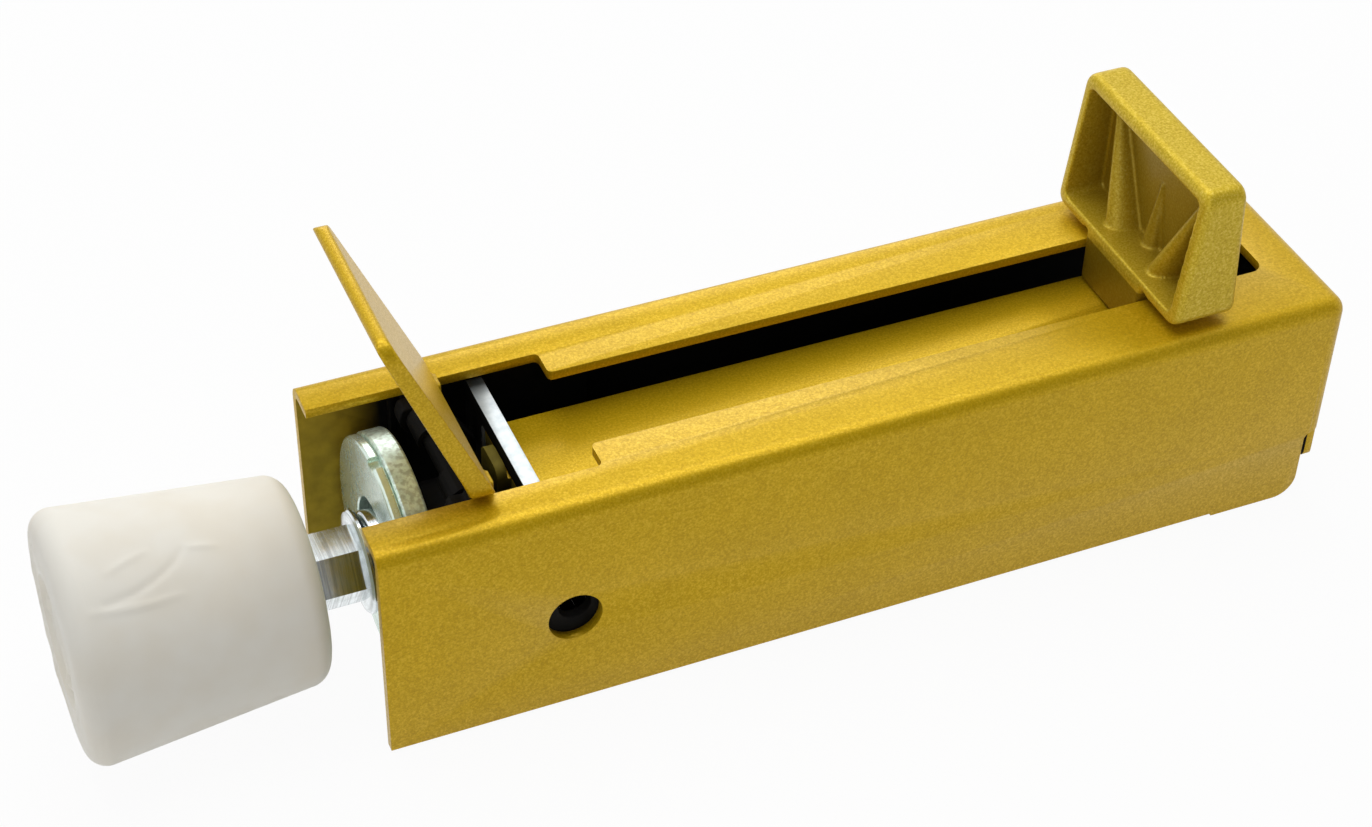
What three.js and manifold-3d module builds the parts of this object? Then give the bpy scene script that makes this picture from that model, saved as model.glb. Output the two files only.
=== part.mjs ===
// A door stop worked by the foot. It is screwed to the foot of a door. Treading on the
// press pedal slides the rubber foot out towards the floor, the lock plate grips the tube,
// and the release pedal lets it spring back.
//
// Millimetres. X runs along the housing from the rubber foot to the end wall, Y across it,
// and Z away from the door. The origin is the middle of the face that lies on the door.
import * as THREE from 'three';
import * as BufferGeometryUtils from 'three/addons/utils/BufferGeometryUtils.js';
import Module from 'manifold-3d';

const wasm = await Module();
wasm.setup();

// Clearances that several pieces share
const seatGap = 0.3;
const runningGap = 0.4;
const overrun = 1;

// Counts of sides and steps of the round shapes
const rounds = { large: 40, middle: 32, small: 16, corner: 4, hexagon: 6, wireSteps: 8, wireSides: 5 };

// Distance below which two corners count as one
const mergeDistance = 1e-5;

// Housing, a channel folded from one sheet, open at its back and at the foot end
const housing = {
  length: 150,
  width: 39.15,
  height: 36.9,
  sheet: 1.5,
  bendRadius: 2.6,
  backEdgeLift: 0.45,
  liftFromEnd: 18,
  backCornerRadius: 3.6,
  slitWidth: 1.8,
  slitHeight: 12,
  slitTopRadius: 1.2,
  endWallLift: 5,
  endWallCornerRadius: 1.8,
  endWallEdgeRadius: 0.7,
};

// Slot in the housing's face, wide at the foot end: its flanges as shares of the housing's width
const slot = {
  wideLength: 34.2,
  wideFlangeShare: 0.1727,
  narrowFlangeShare: 0.2912,
  endMargin: 8,
  stepRadius: 0.8,
  endRadius: 2,
};

// Screw hole in each side wall, with a smaller one behind it in the bracket
const sideHole = { fromEnd: 27.5, belowAxis: 1.95, diameter: 8, innerDiameter: 5, innerOffset: 0.6 };

// Bracket that is screwed to the door and carries the mechanism
const bracket = {
  sheet: 1.5,
  sideGap: 0.375,
  start: 13,
  endMargin: 4,
  foldRadius: 1.5,
  earLength: 30,
  earTopGap: 0.4,
  earCornerRadius: 4,
  screwHoleDiameter: 4.6,
  screwFromStart: 45,
  screwFromEnd: 9,
  screwFromSide: 5.2,
  cornerRadius: 2,
};

// Pin on which the release pedal swings, lying in notches of the bracket's ears
const releasePin = { diameter: 3, fromEnd: 15.6, topGap: 0.4, holeGap: 0.15, endGap: 0.225 };

// Plate that grips the carriage tube when it stands askew
const lockPlate = {
  thickness: 2.4,
  start: 24,
  sideGap: 0.6,
  topGap: 2,
  footGap: 0.3,
  cornerRadius: 1.2,
  tubeGap: 0.4,
  barGap: 0.6,
  barSideGap: 0.3,
  lipHeight: 2,
  lipThickness: 1.5,
  lipHalfWidth: 6,
};

// Springs that push the lock plate towards the foot, and the tabs that they stand on
const lockSpring = { meanDiameter: 4.2, wire: 0.7, turns: 6, fromEar: 3.2, belowAxis: 7.45 };
const springTab = { start: 40.5, tubeGap: 0.9, halfHeight: 4.5 };

// Tube that slides through the lock plate, close under the bar
const tube = { barGap: 0.25, wall: 1.4, start: 8.4 };

// Two plates round the end of the tube
const frontDisc = {
  start: 5.2,
  thickness: 1.6,
  wallGap: 0.575,
  boreGap: 0.05,
  notchWidth: 2.4,
  notchDepth: 1.1,
};
const backDisc = { thickness: 3.2, wallGap: 0.375 };
const discChamfer = 0.4;

// Flat bar between the press pedal and the tab that stops it at the lock plate: its depth under the
// face as a share of the housing's height
const bar = {
  slotGap: 0.175,
  thickness: 2.5,
  depthShare: 0.19,
  tabWidth: 6.8,
  tabThickness: 1.5,
  cornerRadius: 0.8,
};

// Pedal that is trodden on
const pressPedal = {
  restGap: 11,
  baseDepth: 10.6,
  faceGap: 1.2,
  height: 23,
  sideMargin: 2.075,
  frontLean: 2.5,
  backLean: 1.5,
  edgeRadius: 1.2,
  cornerRadius: 2.2,
  rim: 2,
  backWall: 2.2,
  neckGap: 0.375,
  notchDepth: 1.2,
  notchWidth: 1.6,
};

// Tapered ribs in the hollow of the press pedal, two that lean apart and a short one between them:
// places across as shares of its half width, heights as shares of its height
const ribs = {
  outer: { footShare: 0.33, topShare: 0.79, footDepth: 4.8, footHalfWidth: 2.5, heightShare: 1 },
  middle: { footShare: 0, topShare: 0, footDepth: 2, footHalfWidth: 1.9, heightShare: 0.55 },
  topScale: 0.15,
};

// Rivets that hold the pedal, the bar and the block together
const rivet = { diameter: 3, headDiameter: 5.2, headHeight: 1.4, depth: 6, spacing: 5.6, fromFront: 2.6 };

// Block behind the tube, which slides on the bracket
const block = {
  length: 7,
  lugThickness: 3,
  lugLength: 13,
  bossLength: 7,
  behindPedal: 2.4,
  cornerRadius: 1,
};
const blockPin = { diameter: 3, fromTubeEnd: 3.7 };

// Rod under the tube with the spring that draws the carriage back: its height as a share of the
// housing's height
const guideRod = {
  diameter: 3,
  heightShare: 0.152,
  tabStart: 44,
  tabHalfWidth: 4,
  tabTopGap: 0.8,
  rearMargin: 7.5,
  headDiameter: 5.6,
  headLength: 1.5,
  tailLength: 2.4,
  clipThickness: 0.8,
  clipDiameter: 6,
};
const returnSpring = { meanDiameter: 5.4, wire: 0.8, turns: 16 };

// Rod in the tube that carries the foot, with a spring behind it that presses the foot down
const plunger = {
  tubeGap: 0.3,
  start: 3.6,
  length: 54,
  chamfer: 0.6,
  boreDepth: 11,
  travel: 5,
  pinDiameter: 3,
  pinFromEnd: 9,
  slotRoundShare: 0.98,
};
const pressureSpring = { rimGap: 1.6, wire: 1.6, turns: 10 };

// Hexagonal adaptor between the foot and the plunger rod
const adaptor = {
  acrossFlats: 9.8,
  start: -5,
  hexLength: 7.2,
  collarLength: 1.1,
  collarDiameter: 15.2,
  collarChamfer: 0.35,
  hexChamfer: 0.6,
  spigotDiameter: 7.4,
  spigotLength: 9,
  boreDepth: 6,
};

// Rubber foot and the flanged stud moulded into it
const rubber = {
  start: -40,
  end: -5.3,
  bigDiameter: 36,
  smallDiameter: 30.2,
  bigEdgeRadius: 3,
  smallEdgeRadius: 3,
  landInnerDiameter: 19,
  landHollow: 1,
  hollowSlope: 0.8,
};
const stud = { diameter: 6, flangeDiameter: 18, flangeThickness: 2.4, flangeDepth: 22 };

// Release pedal, a cast plate with two arms that reach down to the pin and the lock plate
const release = {
  plateThickness: 3.2,
  topThickness: 2,
  sideMargin: 4.675,
  leanAngle: 22.1,
  faceGap: 0.5,
  rise: 30,
  footOffset: 0.3,
  lowerCornerRadius: 2.4,
  upperCornerRadius: 3,
  edgeRadius: 1,
  topRoundShare: 0.4,
  armSlotGap: 0.515,
  armThickness: 2.8,
  lugRadius: 3.2,
  fingerLength: 4.2,
  fingerAboveAxis: 5.15,
  fingerHeight: 3,
  fingerRadius: 1.1,
};
const pinSleeve = { outerDiameter: 4.6, bore: 3.3, innerSide: 4.2 };

// Places that follow from the sizes above
const halfWidth = housing.width / 2;
const innerHalf = halfWidth - housing.sheet;
const faceBack = housing.height - housing.sheet;
const axisHeight = housing.height / 2;
const slotEnd = housing.length - slot.endMargin;
const wideHalf = halfWidth - housing.width * slot.wideFlangeShare;
const narrowHalf = halfWidth - housing.width * slot.narrowFlangeShare;
const earOuter = innerHalf - bracket.sideGap;
const earInner = earOuter - bracket.sheet;
const bracketEnd = housing.length - bracket.endMargin;
const pinHeight = faceBack - releasePin.topGap - releasePin.diameter / 2;
const barHalf = narrowHalf - bar.slotGap;
const barTop = housing.height * (1 - bar.depthShare);
const barBottom = barTop - bar.thickness;
const lockTop = faceBack - lockPlate.topGap;
const lockBottom = bracket.sheet + lockPlate.footGap;
const lockBack = lockPlate.start + lockPlate.thickness;
const lockHalf = earInner - lockPlate.sideGap;
const lockSpringSide = earInner - lockSpring.fromEar;
const lockSpringHeight = axisHeight - lockSpring.belowAxis;
const tubeRadius = barBottom - tube.barGap - axisHeight;
const tubeInner = tubeRadius - tube.wall;
const plungerRadius = tubeInner - plunger.tubeGap;
const pedalHalf = halfWidth - pressPedal.sideMargin;
const neckHalf = narrowHalf - pressPedal.neckGap;
const pedalBack = slotEnd - pressPedal.restGap;
const pedalFront = pedalBack - pressPedal.baseDepth;
const pedalBottom = housing.height + pressPedal.faceGap;
const pedalTop = pedalBottom + pressPedal.height;
const blockFront = pedalFront - block.behindPedal - block.length;
const blockBack = blockFront + block.length;
const blockTop = barBottom - seatGap;
const blockBottom = bracket.sheet + seatGap;
const tubeEnd = blockFront - seatGap;
const blockPinPlace = tubeEnd - blockPin.fromTubeEnd;
const sideHoleHeight = axisHeight - sideHole.belowAxis;
const rodHeight = housing.height * guideRod.heightShare;
const rodTabTop = axisHeight - tubeRadius - guideRod.tabTopGap;
const rodRearTab = housing.length - guideRod.rearMargin - bracket.sheet;
const plungerEnd = plunger.start + plunger.length;
const plungerPinPlace = plungerEnd - plunger.pinFromEnd;
const releaseHalf = halfWidth - release.sideMargin;
const armOuter = wideHalf - release.armSlotGap;
const armInner = armOuter - release.armThickness;

// Finishes
const finishes = {
  gold: { color: 0xb8912c, roughness: 0.42, metalness: 0.6 },
  castGold: { color: 0xb59a3c, roughness: 0.5, metalness: 0.55 },
  zinc: { color: 0xb9c2b8, roughness: 0.34, metalness: 0.9 },
  blackened: { color: 0x1b1a17, roughness: 0.6, metalness: 0.5 },
  springSteel: { color: 0x9a9a98, roughness: 0.35, metalness: 0.9 },
  rubber: { color: 0xd9d3cd, roughness: 0.72, metalness: 0 },
};

/** A closed outline through corners [x, y, radius]. A corner with no radius stays sharp. */
function outline(corners) {
  const shape = new THREE.Shape();
  const count = corners.length;
  corners.forEach(([x, y, radius = 0], index) => {
    const here = new THREE.Vector2(x, y);
    if (radius === 0) {
      if (index === 0) shape.moveTo(x, y);
      else shape.lineTo(x, y);
      return;
    }
    const previous = corners[(index + count - 1) % count];
    const next = corners[(index + 1) % count];
    const back = new THREE.Vector2(previous[0], previous[1]).sub(here).normalize();
    const ahead = new THREE.Vector2(next[0], next[1]).sub(here).normalize();
    const half = Math.acos(THREE.MathUtils.clamp(back.dot(ahead), -1, 1)) / 2;
    const middle = back.clone().add(ahead).normalize();
    const centre = here.clone().addScaledVector(middle, radius / Math.sin(half));
    const start = here.clone().addScaledVector(back, radius / Math.tan(half)).sub(centre);
    const end = here.clone().addScaledVector(ahead, radius / Math.tan(half)).sub(centre);
    const clockwise = ahead.cross(back) < 0;
    if (index === 0) shape.moveTo(centre.x + start.x, centre.y + start.y);
    else shape.lineTo(centre.x + start.x, centre.y + start.y);
    shape.absarc(centre.x, centre.y, radius, start.angle(), end.angle(), clockwise);
  });
  shape.closePath();
  return shape;
}

/** A rectangle with one radius on all its corners. */
function rectangle(left, bottom, right, top, radius = 0) {
  return outline([
    [left, bottom, radius],
    [right, bottom, radius],
    [right, top, radius],
    [left, top, radius],
  ]);
}

/** Turns a closed geometry into a solid that can be joined and cut. */
function solid(geometry) {
  const bare = geometry.index ? geometry.toNonIndexed() : geometry.clone();
  bare.deleteAttribute('normal');
  bare.deleteAttribute('uv');
  const merged = BufferGeometryUtils.mergeVertices(bare, mergeDistance);
  const corners = [];
  for (let i = 0; i < merged.index.count; i += 3) {
    const [a, b, c] = [merged.index.getX(i), merged.index.getX(i + 1), merged.index.getX(i + 2)];
    if (a !== b && b !== c && c !== a) corners.push(a, b, c);
  }
  const vertProperties = Float32Array.from(merged.attributes.position.array);
  const triVerts = Uint32Array.from(corners);
  return new wasm.Manifold(new wasm.Mesh({ numProp: 3, vertProperties, triVerts }));
}

/** Gives a solid's surface back as a three.js geometry. */
function surface(body) {
  const mesh = body.getMesh();
  const geometry = new THREE.BufferGeometry();
  geometry.setAttribute('position', new THREE.BufferAttribute(mesh.vertProperties, 3));
  geometry.setIndex(new THREE.BufferAttribute(mesh.triVerts, 1));
  const flat = geometry.toNonIndexed();
  flat.computeVertexNormals();
  return flat;
}

/** Extrudes a shape drawn in X and Y from one height to another. */
function extrudeZ(shape, bottom, top, curveSegments = rounds.corner) {
  const settings = { depth: top - bottom, bevelEnabled: false, curveSegments };
  return new THREE.ExtrudeGeometry(shape, settings).translate(0, 0, bottom);
}

/** Extrudes a shape drawn in Y and Z along X. */
function extrudeX(shape, start, end, curveSegments = rounds.corner) {
  const turn = new THREE.Matrix4().makeBasis(
    new THREE.Vector3(0, 1, 0),
    new THREE.Vector3(0, 0, 1),
    new THREE.Vector3(1, 0, 0),
  );
  return extrudeZ(shape, start, end, curveSegments).applyMatrix4(turn);
}

/** Extrudes a shape drawn in X and Z along Y. */
function extrudeY(shape, near, far, curveSegments = rounds.corner) {
  return extrudeZ(shape, -far, -near, curveSegments).rotateX(Math.PI / 2);
}

/** A box between two corners. */
function box(x0, y0, z0, x1, y1, z1) {
  const geometry = new THREE.BoxGeometry(x1 - x0, y1 - y0, z1 - z0);
  return geometry.translate((x0 + x1) / 2, (y0 + y1) / 2, (z0 + z1) / 2);
}

/** A round bar along X, Y or Z through the point that the other two coordinates give. */
function roundBar(axis, diameter, start, end, first, second, sides = rounds.small) {
  const geometry = new THREE.CylinderGeometry(diameter / 2, diameter / 2, end - start, sides);
  const middle = (start + end) / 2;
  if (axis === 'x') return geometry.rotateZ(-Math.PI / 2).translate(middle, first, second);
  if (axis === 'y') return geometry.translate(first, middle, second);
  return geometry.rotateX(Math.PI / 2).translate(first, second, middle);
}

/** A solid turned about the carriage's axis from points [x, radius] that go round the section. */
function turned(points, sides = rounds.large, height = axisHeight) {
  const closed = [...points, points[0]].map(([x, radius]) => new THREE.Vector2(radius, x));
  const lathe = (way) => solid(new THREE.LatheGeometry(way, sides).rotateZ(-Math.PI / 2));
  const body = lathe(closed);
  const outward = body.volume() > 0 ? body : lathe(closed.reverse());
  return outward.translate(0, 0, height);
}

/** Points [x, radius] of a quarter round from one angle to another, in degrees. */
function arcPoints(x, radius, size, from, to, steps = rounds.corner) {
  return Array.from({ length: steps + 1 }, (_, step) => {
    const angle = THREE.MathUtils.degToRad(from + ((to - from) * step) / steps);
    return [x + size * Math.cos(angle), radius + size * Math.sin(angle)];
  });
}

/** Joins geometries and solids into one solid. */
function join(...pieces) {
  return pieces.map((piece) => (piece.isBufferGeometry ? solid(piece) : piece)).reduce((a, b) => a.add(b));
}

/** Cuts geometries and solids out of the first one. */
function cut(first, ...cutters) {
  const bodies = [first, ...cutters].map((item) => (item.isBufferGeometry ? solid(item) : item));
  return bodies.reduce((rest, cutter) => rest.subtract(cutter));
}

const model = new THREE.Group();

/** Adds a named piece to the model. */
function piece(name, shape, finish) {
  const geometry = shape.isBufferGeometry ? shape : surface(shape);
  const mesh = new THREE.Mesh(geometry, new THREE.MeshStandardMaterial(finish));
  mesh.name = name;
  model.add(mesh);
  return mesh;
}

/** A coil along X as one unbroken tube, which prints the least gap between its turns. */
function coil(name, { wire, turns }, meanDiameter, start, end, y, z) {
  const stepsPerTurn = rounds.wireSteps;
  const sides = rounds.wireSides;
  const steps = turns * stepsPerTurn;
  const first = start + wire / 2;
  const pitch = (end - start - wire) / turns;
  const radius = meanDiameter / 2;
  const centres = Array.from({ length: steps + 1 }, (_, step) => {
    const angle = (2 * Math.PI * step) / stepsPerTurn;
    return new THREE.Vector3(
      first + (pitch * step) / stepsPerTurn,
      y + radius * Math.cos(angle),
      z + radius * Math.sin(angle),
    );
  });
  const positions = [];
  centres.forEach((centre, step) => {
    const angle = (2 * Math.PI * step) / stepsPerTurn;
    const outwards = new THREE.Vector3(0, Math.cos(angle), Math.sin(angle));
    const tangent = new THREE.Vector3(
      pitch,
      -2 * Math.PI * radius * Math.sin(angle),
      2 * Math.PI * radius * Math.cos(angle),
    ).normalize();
    const sideways = new THREE.Vector3().crossVectors(tangent, outwards);
    for (let side = 0; side < sides; side += 1) {
      const turn = (2 * Math.PI * side) / sides;
      const point = centre.clone();
      point.addScaledVector(outwards, (wire / 2) * Math.cos(turn));
      point.addScaledVector(sideways, (wire / 2) * Math.sin(turn));
      positions.push(point.x, point.y, point.z);
    }
  });
  const faces = [];
  for (let step = 0; step < steps; step += 1) {
    for (let side = 0; side < sides; side += 1) {
      const a = step * sides + side;
      const b = step * sides + ((side + 1) % sides);
      faces.push(a, b, b + sides, a, b + sides, a + sides);
    }
  }
  const last = steps * sides;
  for (let side = 1; side < sides - 1; side += 1) {
    faces.push(0, side + 1, side);
    faces.push(last, last + side, last + side + 1);
  }
  let least = Infinity;
  centres.forEach((centre, step) => {
    const others = centres.slice(step + stepsPerTurn / 2);
    others.forEach((other) => {
      least = Math.min(least, centre.distanceTo(other) - wire);
    });
  });
  console.log(`${name}: least gap between turns ${least.toFixed(2)} mm`);
  const geometry = new THREE.BufferGeometry();
  geometry.setAttribute('position', new THREE.Float32BufferAttribute(positions, 3));
  geometry.setIndex(faces);
  geometry.computeVertexNormals();
  return piece(name, geometry, finishes.springSteel);
}

/** The channel's outside or, with an inset, its inside. */
function channel(inset, open) {
  const radius = housing.bendRadius - inset;
  const side = halfWidth - inset;
  const top = housing.height - inset;
  const end = housing.length - inset;
  const across = outline([[-side, -open], [side, -open], [side, top, radius], [-side, top, radius]]);
  const along = outline([[-open, -open], [end, -open], [end, top, radius], [-open, top]]);
  const plan = outline([[-open, -side], [end, -side, radius], [end, side, radius], [-open, side]]);
  const first = solid(extrudeX(across, -open, end));
  const second = solid(extrudeY(along, -side, side));
  return first.intersect(second).intersect(solid(extrudeZ(plan, -open, top)));
}

function housingShell() {
  const { length, backEdgeLift, sheet } = housing;
  const slitStart = length - sheet - housing.slitWidth;
  const liftEnd = length - housing.liftFromEnd;
  const backEdge = outline([
    [-overrun, -overrun],
    [length + overrun, -overrun],
    [length + overrun, housing.endWallLift],
    [length - sheet, housing.endWallLift],
    [length - sheet, housing.slitHeight],
    [slitStart, housing.slitHeight, housing.slitTopRadius],
    [slitStart, 0, housing.backCornerRadius],
    [liftEnd, 0],
    [liftEnd, backEdgeLift],
    [-overrun, backEdgeLift],
  ]);
  const slotShape = outline([
    [-overrun, -wideHalf],
    [slot.wideLength, -wideHalf, slot.stepRadius],
    [slot.wideLength, -narrowHalf, slot.stepRadius],
    [slotEnd, -narrowHalf, slot.endRadius],
    [slotEnd, narrowHalf, slot.endRadius],
    [slot.wideLength, narrowHalf, slot.stepRadius],
    [slot.wideLength, wideHalf, slot.stepRadius],
    [-overrun, wideHalf],
  ]);
  const endWallFront = outline([
    [-innerHalf, housing.endWallLift, housing.endWallCornerRadius],
    [innerHalf, housing.endWallLift, housing.endWallCornerRadius],
    [innerHalf, housing.height],
    [-innerHalf, housing.height],
  ]);
  const endWallSide = outline([
    [length - sheet, housing.endWallLift, housing.endWallEdgeRadius],
    [length, housing.endWallLift, housing.endWallEdgeRadius],
    [length, housing.height],
    [length - sheet, housing.height],
  ]);
  const endWallFlap = solid(extrudeX(endWallFront, length - sheet, length)).intersect(
    solid(extrudeY(endWallSide, -innerHalf, innerHalf)),
  );
  const endWallRounds = cut(
    box(length - sheet, -halfWidth - overrun, 0, length + overrun, halfWidth + overrun, housing.slitHeight),
    endWallFlap,
  );
  return cut(
    channel(0, 0),
    channel(sheet, overrun),
    extrudeY(backEdge, -halfWidth - overrun, halfWidth + overrun),
    extrudeZ(slotShape, faceBack - overrun, housing.height + overrun),
    roundBar(
      'y',
      sideHole.diameter,
      -halfWidth - overrun,
      halfWidth + overrun,
      sideHole.fromEnd,
      sideHoleHeight,
      rounds.middle,
    ),
    endWallRounds,
  );
}

function mountingBracket() {
  const { sheet, start, foldRadius, cornerRadius } = bracket;
  const earTop = faceBack - bracket.earTopGap;
  const earEnd = start + bracket.earLength;
  const section = outline([
    [-earOuter, 0, foldRadius],
    [earOuter, 0, foldRadius],
    [earOuter, earTop],
    [earInner, earTop],
    [earInner, sheet],
    [-earInner, sheet],
    [-earInner, earTop],
    [-earOuter, earTop],
  ]);
  const earShape = outline([
    [start, 0],
    [earEnd, 0],
    [earEnd, earTop, bracket.earCornerRadius],
    [start, earTop, bracket.earCornerRadius / 2],
  ]);
  const earSides = solid(extrudeY(earShape, -halfWidth, halfWidth));
  const ears = solid(extrudeX(section, start, earEnd)).intersect(earSides);
  const base = extrudeZ(
    outline([
      [earEnd - overrun, -earOuter],
      [bracketEnd, -earOuter, cornerRadius],
      [bracketEnd, earOuter, cornerRadius],
      [earEnd - overrun, earOuter],
    ]),
    0,
    sheet,
  );
  const tabs = [-1, 1].map((side) => {
    const inner = side * (tubeRadius + springTab.tubeGap);
    const outer = side * (earInner + sheet / 2);
    const [low, high] = [Math.min(inner, outer), Math.max(inner, outer)];
    const bottom = lockSpringHeight - springTab.halfHeight;
    const top = lockSpringHeight + springTab.halfHeight;
    return box(springTab.start, low, bottom, springTab.start + sheet, high, top);
  });
  const lips = [
    lockPlate.start - runningGap - lockPlate.lipThickness,
    lockBack + runningGap,
  ].map((x) => box(
    x,
    -lockPlate.lipHalfWidth,
    sheet / 2,
    x + lockPlate.lipThickness,
    lockPlate.lipHalfWidth,
    sheet + lockPlate.lipHeight,
  ));
  const rodTabs = [guideRod.tabStart, rodRearTab].map((x) => extrudeX(
    outline([
      [-guideRod.tabHalfWidth, sheet / 2],
      [guideRod.tabHalfWidth, sheet / 2],
      [guideRod.tabHalfWidth, rodTabTop, cornerRadius],
      [-guideRod.tabHalfWidth, rodTabTop, cornerRadius],
    ]),
    x,
    x + sheet,
  ));
  const pinHole = releasePin.diameter + 2 * releasePin.holeGap;
  const screwHoles = [start + bracket.screwFromStart, bracketEnd - bracket.screwFromEnd].flatMap(
    (x) => [-1, 1].map((side) => roundBar(
      'z',
      bracket.screwHoleDiameter,
      -overrun,
      sheet + overrun,
      x,
      side * (earOuter - bracket.screwFromSide),
    )),
  );
  return cut(
    join(ears, base, ...tabs, ...lips, ...rodTabs),
    roundBar('y', pinHole, -halfWidth, halfWidth, releasePin.fromEnd, pinHeight),
    box(
      releasePin.fromEnd - pinHole / 2,
      -halfWidth,
      pinHeight,
      releasePin.fromEnd + pinHole / 2,
      halfWidth,
      faceBack,
    ),
    roundBar(
      'y',
      sideHole.innerDiameter,
      -halfWidth,
      halfWidth,
      sideHole.fromEnd + sideHole.innerOffset,
      sideHoleHeight + sideHole.innerOffset,
    ),
    roundBar('x', guideRod.diameter + runningGap, guideRod.tabStart - overrun, bracketEnd, 0, rodHeight),
    ...screwHoles,
  );
}

function lockPlateSolid() {
  const { cornerRadius, start } = lockPlate;
  const windowHalf = barHalf + lockPlate.barSideGap;
  const plate = extrudeX(
    outline([
      [-lockHalf, lockBottom],
      [lockHalf, lockBottom],
      [lockHalf, lockTop, cornerRadius],
      [-lockHalf, lockTop, cornerRadius],
    ]),
    start,
    lockBack,
  );
  return cut(
    plate,
    roundBar(
      'x',
      2 * (tubeRadius + lockPlate.tubeGap),
      start - overrun,
      lockBack + overrun,
      0,
      axisHeight,
      rounds.large,
    ),
    extrudeX(
      rectangle(-windowHalf, axisHeight, windowHalf, barTop + lockPlate.barGap, cornerRadius / 2),
      start - overrun,
      lockBack + overrun,
    ),
  );
}

function slideBar() {
  const shoulder = lockPlate.start - seatGap + overrun / 2;
  const tabHalf = bar.tabWidth / 2;
  const tabBack = lockPlate.start - seatGap;
  const tabTop = pinHeight - releasePin.diameter / 2 - runningGap;
  const rivetHole = rivet.diameter + 2 * seatGap;
  const flat = extrudeZ(
    outline([
      [tabBack - bar.tabThickness, -tabHalf],
      [shoulder, -tabHalf],
      [shoulder, -barHalf, bar.cornerRadius],
      [pedalBack, -barHalf, bar.cornerRadius],
      [pedalBack, barHalf, bar.cornerRadius],
      [shoulder, barHalf, bar.cornerRadius],
      [shoulder, tabHalf],
      [tabBack - bar.tabThickness, tabHalf],
    ]),
    barBottom,
    barTop,
  );
  const tab = extrudeX(
    outline([
      [-tabHalf, barBottom],
      [tabHalf, barBottom],
      [tabHalf, tabTop, tabHalf / 2],
      [-tabHalf, tabTop, tabHalf / 2],
    ]),
    tabBack - bar.tabThickness,
    tabBack,
  );
  const [low, high] = [barBottom - overrun, barTop + overrun];
  const holes = rivetPlaces().map((x) => roundBar('z', rivetHole, low, high, x, 0));
  return cut(join(flat, tab), ...holes);
}

/** Places of the two rivets along X. */
function rivetPlaces() {
  const first = pedalFront + rivet.fromFront;
  return [first, first + rivet.spacing];
}

function pressPedalSolid() {
  const { rim, edgeRadius, cornerRadius, frontLean, backLean } = pressPedal;
  const sideView = (inset) => outline([
    [pedalFront + inset, pedalBottom + inset, inset ? 0 : edgeRadius],
    [pedalBack - inset, pedalBottom + inset, inset ? 0 : edgeRadius],
    [pedalBack - backLean - inset, pedalTop - inset, inset ? 0 : edgeRadius],
    [pedalFront + frontLean + inset, pedalTop - inset, inset ? 0 : edgeRadius],
  ]);
  const frontView = rectangle(-pedalHalf, pedalBottom, pedalHalf, pedalTop, cornerRadius);
  const head = solid(extrudeY(sideView(0), -pedalHalf, pedalHalf)).intersect(
    solid(extrudeX(frontView, pedalFront - overrun, pedalBack + overrun)),
  );
  const hollowBack = pedalBack - backLean - pressPedal.backWall;
  const hollow = solid(extrudeX(
    rectangle(-pedalHalf + rim, pedalBottom + rim, pedalHalf - rim, pedalTop - rim, cornerRadius / 2),
    pedalFront - overrun,
    hollowBack,
  ));
  const ribPlaces = [[ribs.outer, -1], [ribs.middle, 1], [ribs.outer, 1]];
  const ribSolids = ribPlaces.map(([rib, side]) => {
    const ribHeight = pressPedal.height * rib.heightShare;
    const foot = side * rib.footShare * pedalHalf;
    const lean = (side * rib.topShare * pedalHalf - foot) / ribHeight;
    const cone = new THREE.CylinderGeometry(ribs.topScale, 1, ribHeight, rounds.small);
    const shear = new THREE.Matrix4().makeShear(0, 0, 0, 0, 0, lean);
    cone.rotateX(Math.PI / 2).translate(0, 0, ribHeight / 2);
    cone.scale(rib.footDepth, rib.footHalfWidth, 1).applyMatrix4(shear);
    return solid(cone.translate(hollowBack, foot, pedalBottom)).intersect(hollow);
  });
  const { notchDepth, notchWidth } = pressPedal;
  const neck = box(
    pedalFront,
    -neckHalf,
    barTop + seatGap,
    pedalBack,
    neckHalf,
    pedalBottom + rim / 2,
  );
  const notches = [-1, 1].map((sign) => {
    const centre = sign * (neckHalf + notchWidth / 2);
    return box(
      pedalFront - overrun,
      centre - notchWidth / 2,
      pedalBottom - overrun,
      pedalFront + notchDepth,
      centre + notchWidth / 2,
      pedalBottom + notchDepth / 2,
    );
  });
  const holes = rivetPlaces().map((x) => roundBar(
    'z',
    rivet.diameter + 2 * seatGap,
    barTop,
    barTop + seatGap + rivet.depth,
    x,
    0,
  ));
  return cut(join(cut(head, hollow), ...ribSolids, neck), ...notches, ...holes);
}

function rearBlock() {
  const { cornerRadius } = block;
  const lugBottom = blockTop - block.lugThickness;
  const profile = outline([
    [blockFront, blockBottom],
    [blockBack, blockBottom],
    [blockBack, lugBottom, cornerRadius],
    [blockBack + block.lugLength, lugBottom, cornerRadius],
    [blockBack + block.lugLength, blockTop],
    [blockFront, blockTop],
  ]);
  const boss = turned([
    [blockFront + overrun, 0],
    [blockFront - block.bossLength, 0],
    [blockFront - block.bossLength, tubeInner - seatGap],
    [blockFront + overrun, tubeInner - seatGap],
  ], rounds.middle);
  const holes = rivetPlaces().map((x) => roundBar('z', rivet.diameter + 2 * seatGap, 0, barTop, x, 0));
  const rodHole = guideRod.diameter + 2 * runningGap;
  return cut(
    join(extrudeY(profile, -barHalf, barHalf), boss),
    roundBar('x', rodHole, blockFront - overrun, blockBack + overrun, 0, rodHeight),
    tubePinBar(blockPin.diameter + 2 * seatGap, blockPinPlace),
    ...holes,
  );
}

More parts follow.
